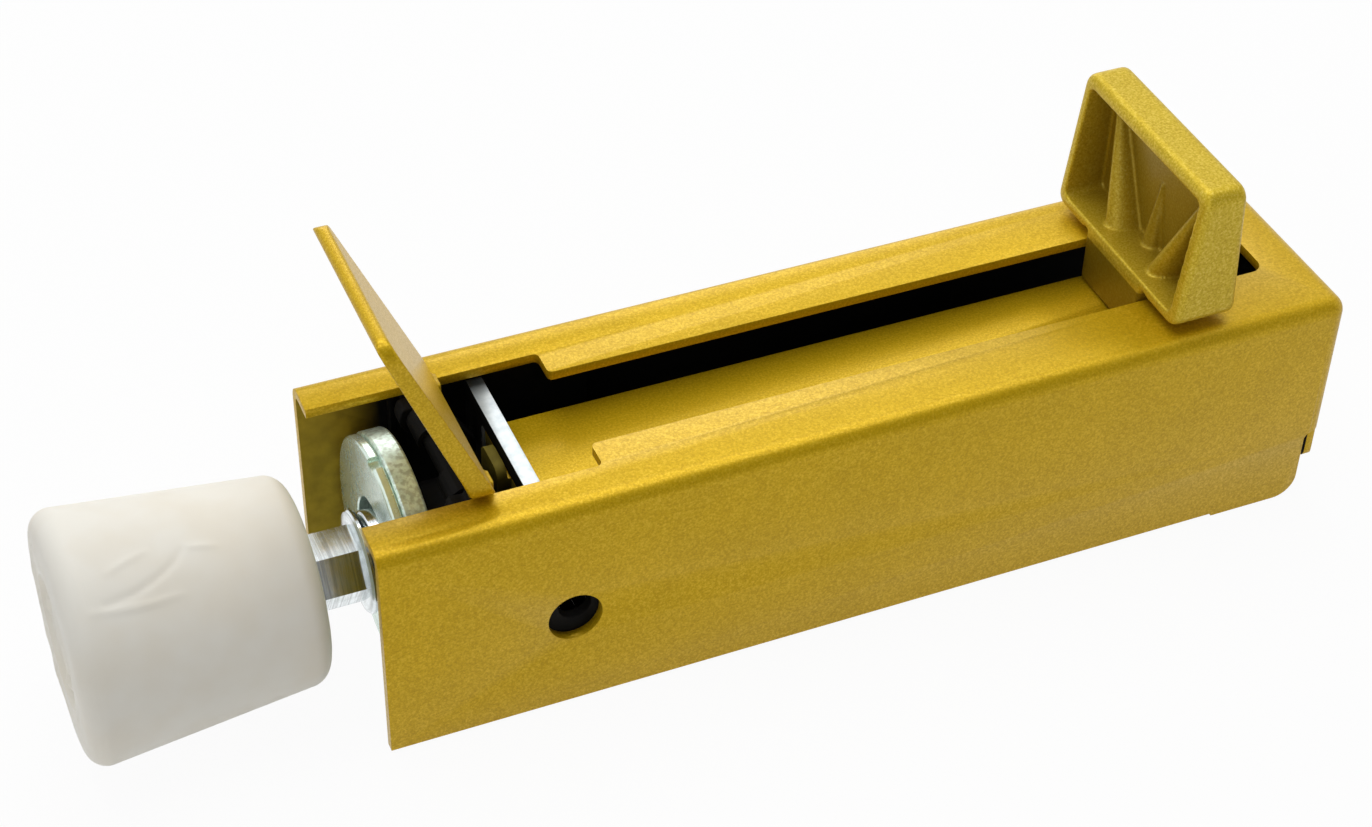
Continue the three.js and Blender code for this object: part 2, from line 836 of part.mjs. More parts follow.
/** A bar across the tube, from outside one wall to outside the other. */
function tubePinBar(diameter, x) {
  return roundBar('y', diameter, -tubeRadius - overrun, tubeRadius + overrun, x, axisHeight);
}

function carriageTube() {
  const body = turned([
    [tube.start, tubeInner],
    [tube.start, tubeRadius],
    [tubeEnd, tubeRadius],
    [tubeEnd, tubeInner],
  ]);
  return cut(
    body,
    tubePinBar(blockPin.diameter + 2 * seatGap, blockPinPlace),
    tubePinBar(plunger.pinDiameter + 2 * seatGap, plungerPinPlace),
  );
}

/** A plate with chamfered edges round the axis, from its front and its radii. */
function disc(start, thickness, radius, bore) {
  const end = start + thickness;
  return turned([
    [start, bore],
    [start, radius - discChamfer],
    [start + discChamfer, radius],
    [end - discChamfer, radius],
    [end, radius - discChamfer],
    [end, bore],
  ]);
}

function frontDiscSolid() {
  const { start, thickness, notchDepth } = frontDisc;
  const radius = innerHalf - frontDisc.wallGap;
  const top = axisHeight + radius;
  const half = frontDisc.notchWidth / 2;
  return cut(
    disc(start, thickness, radius, tubeRadius + frontDisc.boreGap),
    box(start - overrun, -half, top - notchDepth, start + thickness + overrun, half, top + overrun),
  );
}

function backDiscSolid() {
  const start = frontDisc.start + frontDisc.thickness + seatGap;
  return disc(start, backDisc.thickness, innerHalf - backDisc.wallGap, tubeRadius + seatGap);
}

function plungerRod() {
  const { start, chamfer, pinDiameter, travel, slotRoundShare } = plunger;
  const radius = plungerRadius;
  const bore = adaptor.spigotDiameter / 2 + seatGap;
  const body = turned([
    [start, bore],
    [start, radius - chamfer],
    [start + chamfer, radius],
    [plungerEnd - chamfer, radius],
    [plungerEnd, radius - chamfer],
    [plungerEnd, 0],
    [start + plunger.boreDepth, 0],
    [start + plunger.boreDepth, bore],
  ]);
  const half = pinDiameter / 2 + seatGap;
  const slotShape = rectangle(
    plungerPinPlace - half - travel,
    axisHeight - half,
    plungerPinPlace + half,
    axisHeight + half,
    half * slotRoundShare,
  );
  return cut(body, extrudeY(slotShape, -radius - overrun, radius + overrun));
}

function hexAdaptor() {
  const { start, hexLength, collarLength, hexChamfer, collarChamfer } = adaptor;
  const corner = adaptor.acrossFlats / 2 / Math.cos(Math.PI / rounds.hexagon);
  const hexEnd = start + hexLength;
  const collarEnd = hexEnd + collarLength;
  const collarRadius = adaptor.collarDiameter / 2;
  const spigotRadius = adaptor.spigotDiameter / 2;
  const prism = new THREE.CylinderGeometry(corner, corner, hexLength, rounds.hexagon);
  prism.rotateZ(-Math.PI / 2).rotateX(Math.PI / rounds.hexagon);
  const blank = turned([
    [start, 0],
    [start, corner - hexChamfer],
    [start + hexChamfer, corner],
    [hexEnd, corner],
    [hexEnd, 0],
  ]);
  const hex = solid(prism.translate(start + hexLength / 2, 0, axisHeight)).intersect(blank);
  const collar = turned([
    [hexEnd - seatGap, 0],
    [hexEnd - seatGap, corner],
    [hexEnd, collarRadius - collarChamfer],
    [hexEnd + collarChamfer, collarRadius],
    [collarEnd - collarChamfer, collarRadius],
    [collarEnd, collarRadius - collarChamfer],
    [collarEnd, spigotRadius],
    [collarEnd + adaptor.spigotLength, spigotRadius],
    [collarEnd + adaptor.spigotLength, 0],
  ]);
  const [boreStart, boreEnd] = [start - overrun, start + adaptor.boreDepth];
  const bore = roundBar('x', stud.diameter + 2 * seatGap, boreStart, boreEnd, 0, axisHeight);
  return cut(join(hex, collar), bore);
}

function rubberFoot() {
  const { start, end, bigEdgeRadius, smallEdgeRadius, landHollow, hollowSlope } = rubber;
  const big = rubber.bigDiameter / 2;
  const small = rubber.smallDiameter / 2;
  const land = rubber.landInnerDiameter / 2;
  const bore = stud.diameter / 2 + seatGap;
  const flange = stud.flangeDiameter / 2 + seatGap;
  const flangeEnd = end - stud.flangeDepth + seatGap;
  const flangeStart = flangeEnd - stud.flangeThickness - 2 * seatGap;
  return turned([
    [start + landHollow, 0],
    [start + landHollow, land - hollowSlope],
    [start, land],
    ...arcPoints(start + bigEdgeRadius, big - bigEdgeRadius, bigEdgeRadius, 180, 90),
    ...arcPoints(end - smallEdgeRadius, small - smallEdgeRadius, smallEdgeRadius, 90, 0),
    [end, bore],
    [flangeEnd, bore],
    [flangeEnd, flange],
    [flangeStart, flange],
    [flangeStart, 0],
  ]);
}

function footStud() {
  const shank = stud.diameter / 2;
  const flangeEnd = rubber.end - stud.flangeDepth;
  const flangeStart = flangeEnd - stud.flangeThickness;
  const tip = adaptor.start + adaptor.boreDepth - seatGap;
  return turned([
    [flangeStart, 0],
    [flangeStart, stud.flangeDiameter / 2],
    [flangeEnd, stud.flangeDiameter / 2],
    [flangeEnd, shank],
    [tip, shank],
    [tip, 0],
  ], rounds.middle);
}

function releasePedal() {
  const { lowerCornerRadius, upperCornerRadius, edgeRadius } = release;
  const side = releaseHalf;
  const lean = THREE.MathUtils.degToRad(release.leanAngle);
  const foot = housing.height + release.faceGap;
  const top = foot + release.rise;
  const run = release.rise * Math.tan(lean);
  const depth = release.plateThickness / Math.cos(lean);
  const topDepth = release.topThickness / Math.cos(lean);
  const left = releasePin.fromEnd - release.footOffset;
  const plate = solid(extrudeY(
    outline([
      [left, foot, edgeRadius / 2],
      [left + depth, foot, edgeRadius],
      [left + topDepth - run, top, topDepth * release.topRoundShare],
      [left - run, top, topDepth * release.topRoundShare],
    ]),
    -side,
    side,
  ));
  const front = outline([
    [-side, foot, lowerCornerRadius],
    [side, foot, lowerCornerRadius],
    [side, top, upperCornerRadius],
    [-side, top, upperCornerRadius],
  ]);
  const trimmed = plate.intersect(solid(extrudeX(front, left - run - overrun, left + depth + overrun)));
  const pinX = releasePin.fromEnd;
  const fingerTip = lockPlate.start - runningGap;
  const fingerBottom = axisHeight + release.fingerAboveAxis;
  const armShape = outline([
    [left, foot + overrun],
    [left, pinHeight],
    [pinX, pinHeight],
    [fingerTip - release.fingerLength, fingerBottom, release.fingerRadius],
    [fingerTip, fingerBottom, release.fingerRadius],
    [fingerTip, fingerBottom + release.fingerHeight, release.fingerRadius],
    [left + depth, pinHeight, release.fingerRadius],
    [left + depth, foot + overrun],
  ]);
  const bore = releasePin.diameter + 2 * releasePin.holeGap;
  const arms = [-1, 1].map((sign) => {
    const [low, high] = sign < 0 ? [-armOuter, -armInner] : [armInner, armOuter];
    const lug = roundBar('y', 2 * release.lugRadius, low, high, pinX, pinHeight);
    const aboveFace = box(
      left - run,
      low - overrun,
      housing.height - housing.sheet,
      left,
      high + overrun,
      foot,
    );
    return cut(join(extrudeY(armShape, low, high), lug), aboveFace);
  });
  return cut(join(trimmed, ...arms), roundBar('y', bore, -side - overrun, side + overrun, pinX, pinHeight));
}

function guideRodSolid() {
  const start = guideRod.tabStart - seatGap - guideRod.clipThickness - guideRod.tailLength;
  const headStart = rodRearTab + bracket.sheet + seatGap;
  const radius = guideRod.diameter / 2;
  return turned([
    [start, 0],
    [start, radius],
    [headStart, radius],
    [headStart, guideRod.headDiameter / 2],
    [headStart + guideRod.headLength, guideRod.headDiameter / 2],
    [headStart + guideRod.headLength, 0],
  ], rounds.small, rodHeight);
}

function rodClip() {
  const end = guideRod.tabStart - seatGap;
  const start = end - guideRod.clipThickness;
  const bore = guideRod.diameter / 2 + seatGap / 2;
  const outer = guideRod.clipDiameter / 2;
  return cut(
    turned([[start, bore], [start, outer], [end, outer], [end, bore]], rounds.small, rodHeight),
    box(start - overrun, -bore / 2, rodHeight, end + overrun, bore / 2, rodHeight + guideRod.clipDiameter),
  );
}

/** A rivet with its head under the block's lug. */
function rivetSolid(x) {
  const headTop = blockTop - block.lugThickness - seatGap;
  const headBottom = headTop - rivet.headHeight;
  const shank = roundBar('z', rivet.diameter, headTop - overrun / 2, barTop + rivet.depth, x, 0);
  const head = roundBar('z', rivet.headDiameter, headBottom, headTop, x, 0);
  return join(shank, head);
}

function pinSleeveSolid(sign) {
  const inner = pinSleeve.innerSide;
  const outer = armInner - seatGap;
  const [low, high] = sign < 0 ? [-outer, -inner] : [inner, outer];
  return cut(
    roundBar('y', pinSleeve.outerDiameter, low, high, releasePin.fromEnd, pinHeight),
    roundBar('y', pinSleeve.bore, low - overrun, high + overrun, releasePin.fromEnd, pinHeight),
  );
}

// Fixed pieces
piece('housing_shell', housingShell(), finishes.gold);
piece('mounting_bracket', mountingBracket(), finishes.blackened);
const pinHalf = innerHalf - releasePin.endGap;
piece(
  'release_pin',
  roundBar('y', releasePin.diameter, -pinHalf, pinHalf, releasePin.fromEnd, pinHeight),
  finishes.blackened,
);
piece('return_guide_rod', guideRodSolid(), finishes.blackened);
piece('guide_rod_clip', rodClip(), finishes.blackened);
const rodTabBack = guideRod.tabStart + bracket.sheet;
coil(
  'return_spring',
  returnSpring,
  returnSpring.meanDiameter,
  rodTabBack + seatGap,
  blockFront - seatGap,
  0,
  rodHeight,
);
const springSides = { near: -1, far: 1 };
Object.entries(springSides).forEach(([place, sign]) => {
  const start = lockBack + seatGap;
  const end = springTab.start - seatGap;
  const side = sign * lockSpringSide;
  coil(`lock_spring_${place}`, lockSpring, lockSpring.meanDiameter, start, end, side, lockSpringHeight);
});

// Pieces that slide with the press pedal
piece('press_pedal', pressPedalSolid(), finishes.castGold);
piece('slide_bar', slideBar(), finishes.gold);
const rivetNames = ['pedal_rivet_front', 'pedal_rivet_rear'];
rivetPlaces().forEach((x, index) => piece(rivetNames[index], rivetSolid(x), finishes.zinc));
piece('carriage_tube', carriageTube(), finishes.blackened);
piece('front_disc', frontDiscSolid(), finishes.zinc);
piece('back_disc', backDiscSolid(), finishes.zinc);
piece('rear_block', rearBlock(), finishes.blackened);
const tubePinHalf = tubeRadius - seatGap / 2;
const tubePin = (diameter, x) => roundBar('y', diameter, -tubePinHalf, tubePinHalf, x, axisHeight);
piece('block_pin', tubePin(blockPin.diameter, blockPinPlace), finishes.zinc);
piece('plunger_stop_pin', tubePin(plunger.pinDiameter, plungerPinPlace), finishes.zinc);

// Pieces that give way when the foot meets the floor
piece('plunger_rod', plungerRod(), finishes.zinc);
const bossEnd = blockFront - block.bossLength;
const pressureMean = 2 * (plungerRadius - pressureSpring.rimGap);
coil(
  'pressure_spring',
  pressureSpring,
  pressureMean,
  plungerEnd + seatGap,
  bossEnd - seatGap,
  0,
  axisHeight,
);
piece('hex_adaptor', hexAdaptor(), finishes.zinc);
piece('foot_stud', footStud(), finishes.zinc);
piece('rubber_foot', rubberFoot(), finishes.rubber);

// Pieces that free the carriage
piece('release_pedal', releasePedal(), finishes.gold);
Object.entries(springSides).forEach(([place, sign]) => {
  piece(`pin_sleeve_${place}`, pinSleeveSolid(sign), finishes.zinc);
});
piece('lock_plate', lockPlateSolid(), finishes.zinc);

const doorStop = new THREE.Group();
model.position.set(-housing.length / 2, 0, 0);
doorStop.add(model);

export default doorStop;
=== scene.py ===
"""Looks of a foot-worked door stop: gold enamelled steel, zinc plated parts and a pale rubber foot."""

import logging
import math
from dataclasses import dataclass, field
from enum import Enum
from typing import Callable, Iterable, Sequence

import bmesh
import bpy
from mathutils import Matrix, Vector, noise


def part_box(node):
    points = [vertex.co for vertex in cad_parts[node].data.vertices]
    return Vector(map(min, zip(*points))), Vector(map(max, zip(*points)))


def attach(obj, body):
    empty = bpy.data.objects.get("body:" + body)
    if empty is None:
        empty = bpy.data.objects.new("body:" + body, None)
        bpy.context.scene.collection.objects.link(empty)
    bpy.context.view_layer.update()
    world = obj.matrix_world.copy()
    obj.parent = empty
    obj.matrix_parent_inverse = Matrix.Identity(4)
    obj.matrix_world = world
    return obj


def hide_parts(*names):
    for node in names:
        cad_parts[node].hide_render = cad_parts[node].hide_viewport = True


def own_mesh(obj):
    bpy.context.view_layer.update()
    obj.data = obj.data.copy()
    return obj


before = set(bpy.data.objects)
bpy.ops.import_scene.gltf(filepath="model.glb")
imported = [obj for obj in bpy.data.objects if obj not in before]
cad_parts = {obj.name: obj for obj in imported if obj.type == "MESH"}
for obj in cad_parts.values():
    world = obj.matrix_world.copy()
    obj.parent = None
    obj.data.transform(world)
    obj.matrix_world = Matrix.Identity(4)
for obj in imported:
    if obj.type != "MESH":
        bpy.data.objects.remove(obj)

LOG = logging.getLogger("door_stop")
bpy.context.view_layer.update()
MM = 0.001
# From the frame's origin to the housing's foot end.
HALF_LENGTH = 75 * MM
# The vertex attribute that says how much painted shade lies in a recess.
PAINTED_SHADE = "painted_shade_in_recesses"
WHITE_HEX = "FFFFFF"
# Nearly all of a noise texture's values lie between these.
NOISE_LOW = 0.3
NOISE_HIGH = 0.7
MIX_COLOURS = {"data_type": "RGBA"}
MULTIPLY_COLOURS = {"data_type": "RGBA", "blend_type": "MULTIPLY"}
# The share of a unit vector that lies along an axis, above which it counts as along it.
STRAIGHT = 0.999
# Points nearer than this are merged, in metres.
WELD = 1e-6
CLOSE_WELD = 1e-7
# The smoothing angle, in degrees, of a piece without any sharp edge.
ALL_SMOOTH = 180.0


class Body(Enum):
    """The bodies of the frame that pieces ride on."""

    ROOT = "root"
    CARRIAGE = "carriage"
    PLUNGER = "plunger"
    RELEASE = "release"
    LOCK = "lock"


class Joint(Enum):
    """The joints that shorten a spring."""

    CARRIAGE_SLIDE = "carriage_slide"
    PLUNGER_GIVE = "plunger_give"
    LOCK_TILT = "lock_tilt"


class Slot(Enum):
    """The record's material slots."""

    GOLD = "gold_paint"
    CAST_GOLD = "cast_gold_paint"
    BLACK = "black_oxide"
    ZINC = "zinc_plate"
    SPRING = "spring_steel"
    RUBBER = "white_rubber"


class Axis(Enum):
    """A direction of the frame, along which an outline is pressed or a bar lies."""

    X = 0
    Y = 1
    Z = 2


def linear(hex_colour: str) -> tuple[float, float, float, float]:
    """Turns an sRGB hex colour into a linear colour.

    Args:
        hex_colour: Six hex digits.

    Returns:
        Red, green, blue and alpha from 0 to 1.
    """
    channels = [int(hex_colour[i : i + 2], 16) / 255 for i in (0, 2, 4)]
    values = [c / 12.92 if c <= 0.04045 else ((c + 0.055) / 1.055) ** 2.4 for c in channels]
    return (values[0], values[1], values[2], 1.0)


def per_metre(size_mm: float) -> float:
    """Gives the texture scale whose pattern repeats at a size in millimetres."""
    return 1.0 / (size_mm * MM)


def fill(node: bpy.types.Node, inputs: dict[str | int, object]) -> None:
    """Sets a node's inputs, or links them to the sockets that are given for them.

    Args:
        node: The node.
        inputs: Values or sockets of other nodes, by the input's name or number.
    """
    for name, value in inputs.items():
        if isinstance(value, bpy.types.NodeSocket):
            node.id_data.links.new(value, node.inputs[name])
        else:
            node.inputs[name].default_value = value


def add_node(
    tree: bpy.types.NodeTree,
    kind: str,
    inputs: dict[str | int, object] | None = None,
    settings: dict[str, object] | None = None,
    stops: Sequence[tuple[float, str]] = (),
) -> bpy.types.Node:
    """Adds a node with its settings, its input values and links, and a ramp's stops.

    Args:
        tree: The node tree.
        kind: The node's type name.
        inputs: Values for its inputs, or sockets of other nodes to link to them.
        settings: Properties of the node.
        stops: Positions and hex colours of a colour ramp, in order.

    Returns:
        The new node.
    """
    node = tree.nodes.new(kind)
    for name, value in (settings or {}).items():
        setattr(node, name, value)
    fill(node, inputs or {})
    if stops:
        elements = node.color_ramp.elements
        elements.remove(elements[-1])
        elements[0].position = stops[0][0]
        elements[0].color = linear(stops[0][1])
        for position, hex_colour in stops[1:]:
            elements.new(position).color = linear(hex_colour)
    return node


@dataclass(frozen=True)
class Blank:
    """An empty material: its nodes, its shader, its output and the place that patterns read."""

    material: bpy.types.Material
    tree: bpy.types.NodeTree
    shader: bpy.types.Node
    output: bpy.types.Node
    place: bpy.types.NodeSocket


@dataclass(frozen=True)
class Finish:
    """What every finish shares: a name and the way its material is begun."""

    name: str

    def begin(self) -> Blank:
        """Makes an empty material with a shader and object coordinates.

        Returns:
            The material and the nodes that a finish adds to.
        """
        material = bpy.data.materials.new(self.name)
        material.use_nodes = True
        tree = material.node_tree
        tree.nodes.clear()
        shader = add_node(tree, "ShaderNodeBsdfPrincipled")
        output = add_node(tree, "ShaderNodeOutputMaterial", {"Surface": shader.outputs["BSDF"]})
        place = add_node(tree, "ShaderNodeTexCoord").outputs["Object"]
        return Blank(material, tree, shader, output, place)


@dataclass(frozen=True)
class FleckedEnamel(Finish):
    """Stoved gold enamel with metal flakes over steel: a satin sheen with a grainy sparkle.

    The flakes' colours and gloss vary from grain to grain, the coat drifts a little lighter and darker
    over some millimetres, and its skin has a faint orange peel. Real flakes are about 0.05 mm across.
    They are drawn as coarse as flake_mm says, because finer ones don't show in the render.
    """

    base_hex: str = "CCA60C"
    dark_hex: str = "BB9608"
    light_hex: str = "E0BC30"
    recess_shade_hex: str = ""
    metallic: float = 0.34
    specular: float = 0.18
    coat: float = 0.06
    coat_roughness: float = 0.12
    roughness: float = 0.37
    gloss_swing: float = 0.08
    flake_mm: float = 0.34
    flake_depth_mm: float = 0.02
    drift_mm: float = 9.0
    drift_low: float = 0.96
    drift_high: float = 1.03
    peel_mm: float = 0.9
    peel_depth_mm: float = 0.01

    def build(self) -> bpy.types.Material:
        """Builds the enamel's material.

        Returns:
            The material.
        """
        blank = self.begin()
        tree = blank.tree
        inputs = {"Vector": blank.place, "Scale": per_metre(self.flake_mm), "Detail": 2.0, "Roughness": 0.7}
        flakes = add_node(tree, "ShaderNodeTexNoise", inputs).outputs["Fac"]
        stops = [(0.3, self.dark_hex), (0.5, self.base_hex), (0.72, self.light_hex)]
        flecks = add_node(tree, "ShaderNodeValToRGB", {"Fac": flakes}, stops=stops).outputs["Color"]
        inputs = {"Vector": blank.place, "Scale": per_metre(self.drift_mm), "Detail": 3.0}
        clouds = add_node(tree, "ShaderNodeTexNoise", inputs).outputs["Fac"]
        inputs = {"Value": clouds, "From Min": NOISE_LOW, "From Max": NOISE_HIGH}
        inputs |= {"To Min": self.drift_low, "To Max": self.drift_high}
        drift = add_node(tree, "ShaderNodeMapRange", inputs).outputs["Result"]
        colour = add_node(tree, "ShaderNodeMix", {0: 1.0, 6: flecks, 7: drift}, MULTIPLY_COLOURS).outputs[2]
        # Painted shade: recesses are darkened by the share stored at each vertex.
        if self.recess_shade_hex:
            shade_share = add_node(tree, "ShaderNodeAttribute", settings={"attribute_name": PAINTED_SHADE}).outputs["Fac"]
            inputs = {0: shade_share, 6: colour, 7: linear(self.recess_shade_hex)}
            colour = add_node(tree, "ShaderNodeMix", inputs, MIX_COLOURS).outputs[2]
        inputs = {"Value": flakes, "From Min": NOISE_LOW, "From Max": NOISE_HIGH}
        inputs |= {"To Min": self.roughness + self.gloss_swing, "To Max": self.roughness - self.gloss_swing}
        gloss = add_node(tree, "ShaderNodeMapRange", inputs).outputs["Result"]
        inputs = {"Strength": 0.3, "Distance": self.flake_depth_mm * MM, "Height": flakes}
        sparkle = add_node(tree, "ShaderNodeBump", inputs).outputs["Normal"]
        inputs = {"Vector": blank.place, "Scale": per_metre(self.peel_mm), "Detail": 1.0}
        peel = add_node(tree, "ShaderNodeTexNoise", inputs).outputs["Fac"]
        inputs = {"Strength": 0.5, "Distance": self.peel_depth_mm * MM, "Height": peel, "Normal": sparkle}
        skin = add_node(tree, "ShaderNodeBump", inputs).outputs["Normal"]
        fill(blank.shader, {"Base Color": colour, "Roughness": gloss, "Normal": skin})
        fill(blank.shader, {"Metallic": self.metallic, "Specular IOR Level": self.specular})
        fill(blank.shader, {"Coat Weight": self.coat, "Coat Roughness": self.coat_roughness})
        return blank.material


@dataclass(frozen=True)
class OversprayIntoPaintedShade(Finish):
    """Enamel mist inside the channel's mouth, a dull dusty gold, that fades along the channel into painted
    shade: near-black deeper inside, where shade falls.
    """

    mouth_hex: str = "A88E28"
    inner_shade_hex: str = "070604"
    mouth_end_mm: float = -63.0
    fade_mm: float = 5.0
    cloud_mm: float = 2.5
    cloud_low: float = 0.8
    cloud_high: float = 1.1
    roughness: float = 0.7
    specular: float = 0.15

    def build(self) -> bpy.types.Material:
        """Builds the material of the channel's mist, which fades along the channel into painted shade.

        Returns:
            The material.
        """
        blank = self.begin()
        tree = blank.tree
        along = add_node(tree, "ShaderNodeSeparateXYZ", {0: blank.place}).outputs["X"]
        inputs = {"Value": along, "To Min": 0.0, "To Max": 1.0}
        inputs |= {"From Min": (self.mouth_end_mm - self.fade_mm) * MM, "From Max": self.mouth_end_mm * MM}
        fade = add_node(tree, "ShaderNodeMapRange", inputs).outputs["Result"]
        inputs = {"Vector": blank.place, "Scale": per_metre(self.cloud_mm), "Detail": 4.0}
        clouds = add_node(tree, "ShaderNodeTexNoise", inputs).outputs["Fac"]
        inputs = {"Value": clouds, "From Min": 0.35, "From Max": 0.65}
        inputs |= {"To Min": self.cloud_low, "To Max": self.cloud_high}
        drift = add_node(tree, "ShaderNodeMapRange", inputs).outputs["Result"]
        inputs = {0: 1.0, 6: linear(self.mouth_hex), 7: drift}
        mist = add_node(tree, "ShaderNodeMix", inputs, MULTIPLY_COLOURS).outputs[2]
        # Painted shade: the mist fades to near-black deeper in the channel, where shade falls.
        inputs = {0: fade, 6: mist, 7: linear(self.inner_shade_hex)}
        colour = add_node(tree, "ShaderNodeMix", inputs, MIX_COLOURS).outputs[2]
        fill(blank.shader, {"Base Color": colour, "Roughness": self.roughness})
        fill(blank.shader, {"Specular IOR Level": self.specular})
        return blank.material


@dataclass(frozen=True)
class ZincPlating(Finish):
    """Electroplated zinc with a pale green passivation: a soft metal mirror with cloudy patches.

    A sheared edge is stained brown in specks. On a turned piece the plating follows the tool's marks round
    it. Real marks are about 0.1 mm apart. They are drawn as coarse as turned_mm says, and mark_mm long,
    because finer ones don't show in the render.
    """

    base_hex: str = "EAFBF1"
    cloud_hex: str = "D0E3D7"
    stain_hex: str = "5C5A38"
    stain: float = 0.0
    metallic: float = 0.7
    roughness: float = 0.2
    cloud_roughness: float = 0.1
    cloud_mm: float = 2.2
    specks_per_cloud: float = 3.0
    speck_depth_mm: float = 0.01
    turned_mm: float = 0.0
    mark_mm: float = 14.0
    mark_depth_mm: float = 0.012
    mark_shade: float = 0.66

    def build(self) -> bpy.types.Material:
        """Builds the plating's material.

        Returns:
            The material.
        """
        blank = self.begin()
        tree = blank.tree
        inputs = {"Vector": blank.place, "Scale": per_metre(self.cloud_mm), "Detail": 4.0, "Roughness": 0.6}
        clouds = add_node(tree, "ShaderNodeTexNoise", inputs).outputs["Fac"]
        speck_mm = self.cloud_mm / self.specks_per_cloud
        inputs = {"Vector": blank.place, "Scale": per_metre(speck_mm), "Detail": 3.0}
        specks = add_node(tree, "ShaderNodeTexNoise", inputs).outputs["Fac"]
        stops = [(0.34, self.cloud_hex), (0.6, self.base_hex)]
        colour = add_node(tree, "ShaderNodeValToRGB", {"Fac": clouds}, stops=stops).outputs["Color"]
        if self.stain:
            inputs = {"Value": specks, "From Min": 0.42, "From Max": 0.62, "To Max": self.stain}
            stained = add_node(tree, "ShaderNodeMapRange", inputs).outputs["Result"]
            inputs = {0: stained, 6: colour, 7: linear(self.stain_hex)}
            colour = add_node(tree, "ShaderNodeMix", inputs, MIX_COLOURS).outputs[2]
        inputs = {"Value": clouds, "From Min": NOISE_LOW, "From Max": NOISE_HIGH}
        inputs |= {"To Min": self.roughness + self.cloud_roughness, "To Max": self.roughness}
        gloss = add_node(tree, "ShaderNodeMapRange", inputs).outputs["Result"]
        relief = {"Strength": 0.5, "Distance": self.speck_depth_mm * MM, "Height": specks}
        if self.turned_mm:
            stretch = (per_metre(self.turned_mm), per_metre(self.mark_mm), per_metre(self.mark_mm))
            inputs = {0: blank.place, 1: stretch}
            drawn = add_node(tree, "ShaderNodeVectorMath", inputs, {"operation": "MULTIPLY"})
            inputs = {"Vector": drawn.outputs["Vector"], "Scale": 1.0, "Detail": 3.0, "Roughness": 0.7}
            marks = add_node(tree, "ShaderNodeTexNoise", inputs).outputs["Fac"]
            inputs = {"Value": marks, "From Min": 0.38, "From Max": 0.58, "To Min": self.mark_shade}
            shade = add_node(tree, "ShaderNodeMapRange", inputs).outputs["Result"]
            inputs = {0: 1.0, 6: colour, 7: shade}
            colour = add_node(tree, "ShaderNodeMix", inputs, MULTIPLY_COLOURS).outputs[2]
            relief = {"Strength": 0.5, "Distance": self.mark_depth_mm * MM, "Height": marks}
        skin = add_node(tree, "ShaderNodeBump", relief).outputs["Normal"]
        fill(blank.shader, {"Base Color": colour, "Roughness": gloss, "Normal": skin})
        fill(blank.shader, {"Metallic": self.metallic})
        return blank.material


@dataclass(frozen=True)
class BlackOxide(Finish):
    """Blackened and oiled steel: nearly black, with a dull sheen and brown traces."""

    base_hex: str = "080706"
    trace_hex: str = "12100C"
    roughness: float = 0.7
    specular: float = 0.15
    trace_mm: float = 3.0

    def build(self) -> bpy.types.Material:
        """Builds the blackened steel's material.

        Returns:
            The material.
        """
        blank = self.begin()
        inputs = {"Vector": blank.place, "Scale": per_metre(self.trace_mm), "Detail": 4.0}
        traces = add_node(blank.tree, "ShaderNodeTexNoise", inputs).outputs["Fac"]
        stops = [(0.4, self.base_hex), (0.7, self.trace_hex)]
        colour = add_node(blank.tree, "ShaderNodeValToRGB", {"Fac": traces}, stops=stops).outputs["Color"]
        fill(blank.shader, {"Base Color": colour, "Roughness": self.roughness})
        fill(blank.shader, {"Specular IOR Level": self.specular})
        return blank.material


@dataclass(frozen=True)
class DrawnWire(Finish):
    """Drawn spring steel: a dark grey metal whose gloss is a little uneven.

    Real drawing lines are about 0.05 mm apart. They are drawn as coarse as line_mm says, because finer
    ones don't show in the render.
    """

    base_hex: str = "5E5E5C"
    gloss_roughness: float = 0.28
    dull_roughness: float = 0.48
    line_mm: float = 0.4

    def build(self) -> bpy.types.Material:
        """Builds the wire's material.

        Returns:
            The material.
        """
        blank = self.begin()
        inputs = {"Vector": blank.place, "Scale": per_metre(self.line_mm), "Detail": 2.0}
        lines = add_node(blank.tree, "ShaderNodeTexNoise", inputs).outputs["Fac"]
        inputs = {"Value": lines, "To Min": self.gloss_roughness, "To Max": self.dull_roughness}
        gloss = add_node(blank.tree, "ShaderNodeMapRange", inputs).outputs["Result"]
        fill(blank.shader, {"Roughness": gloss, "Base Color": linear(self.base_hex), "Metallic": 1.0})
        return blank.material


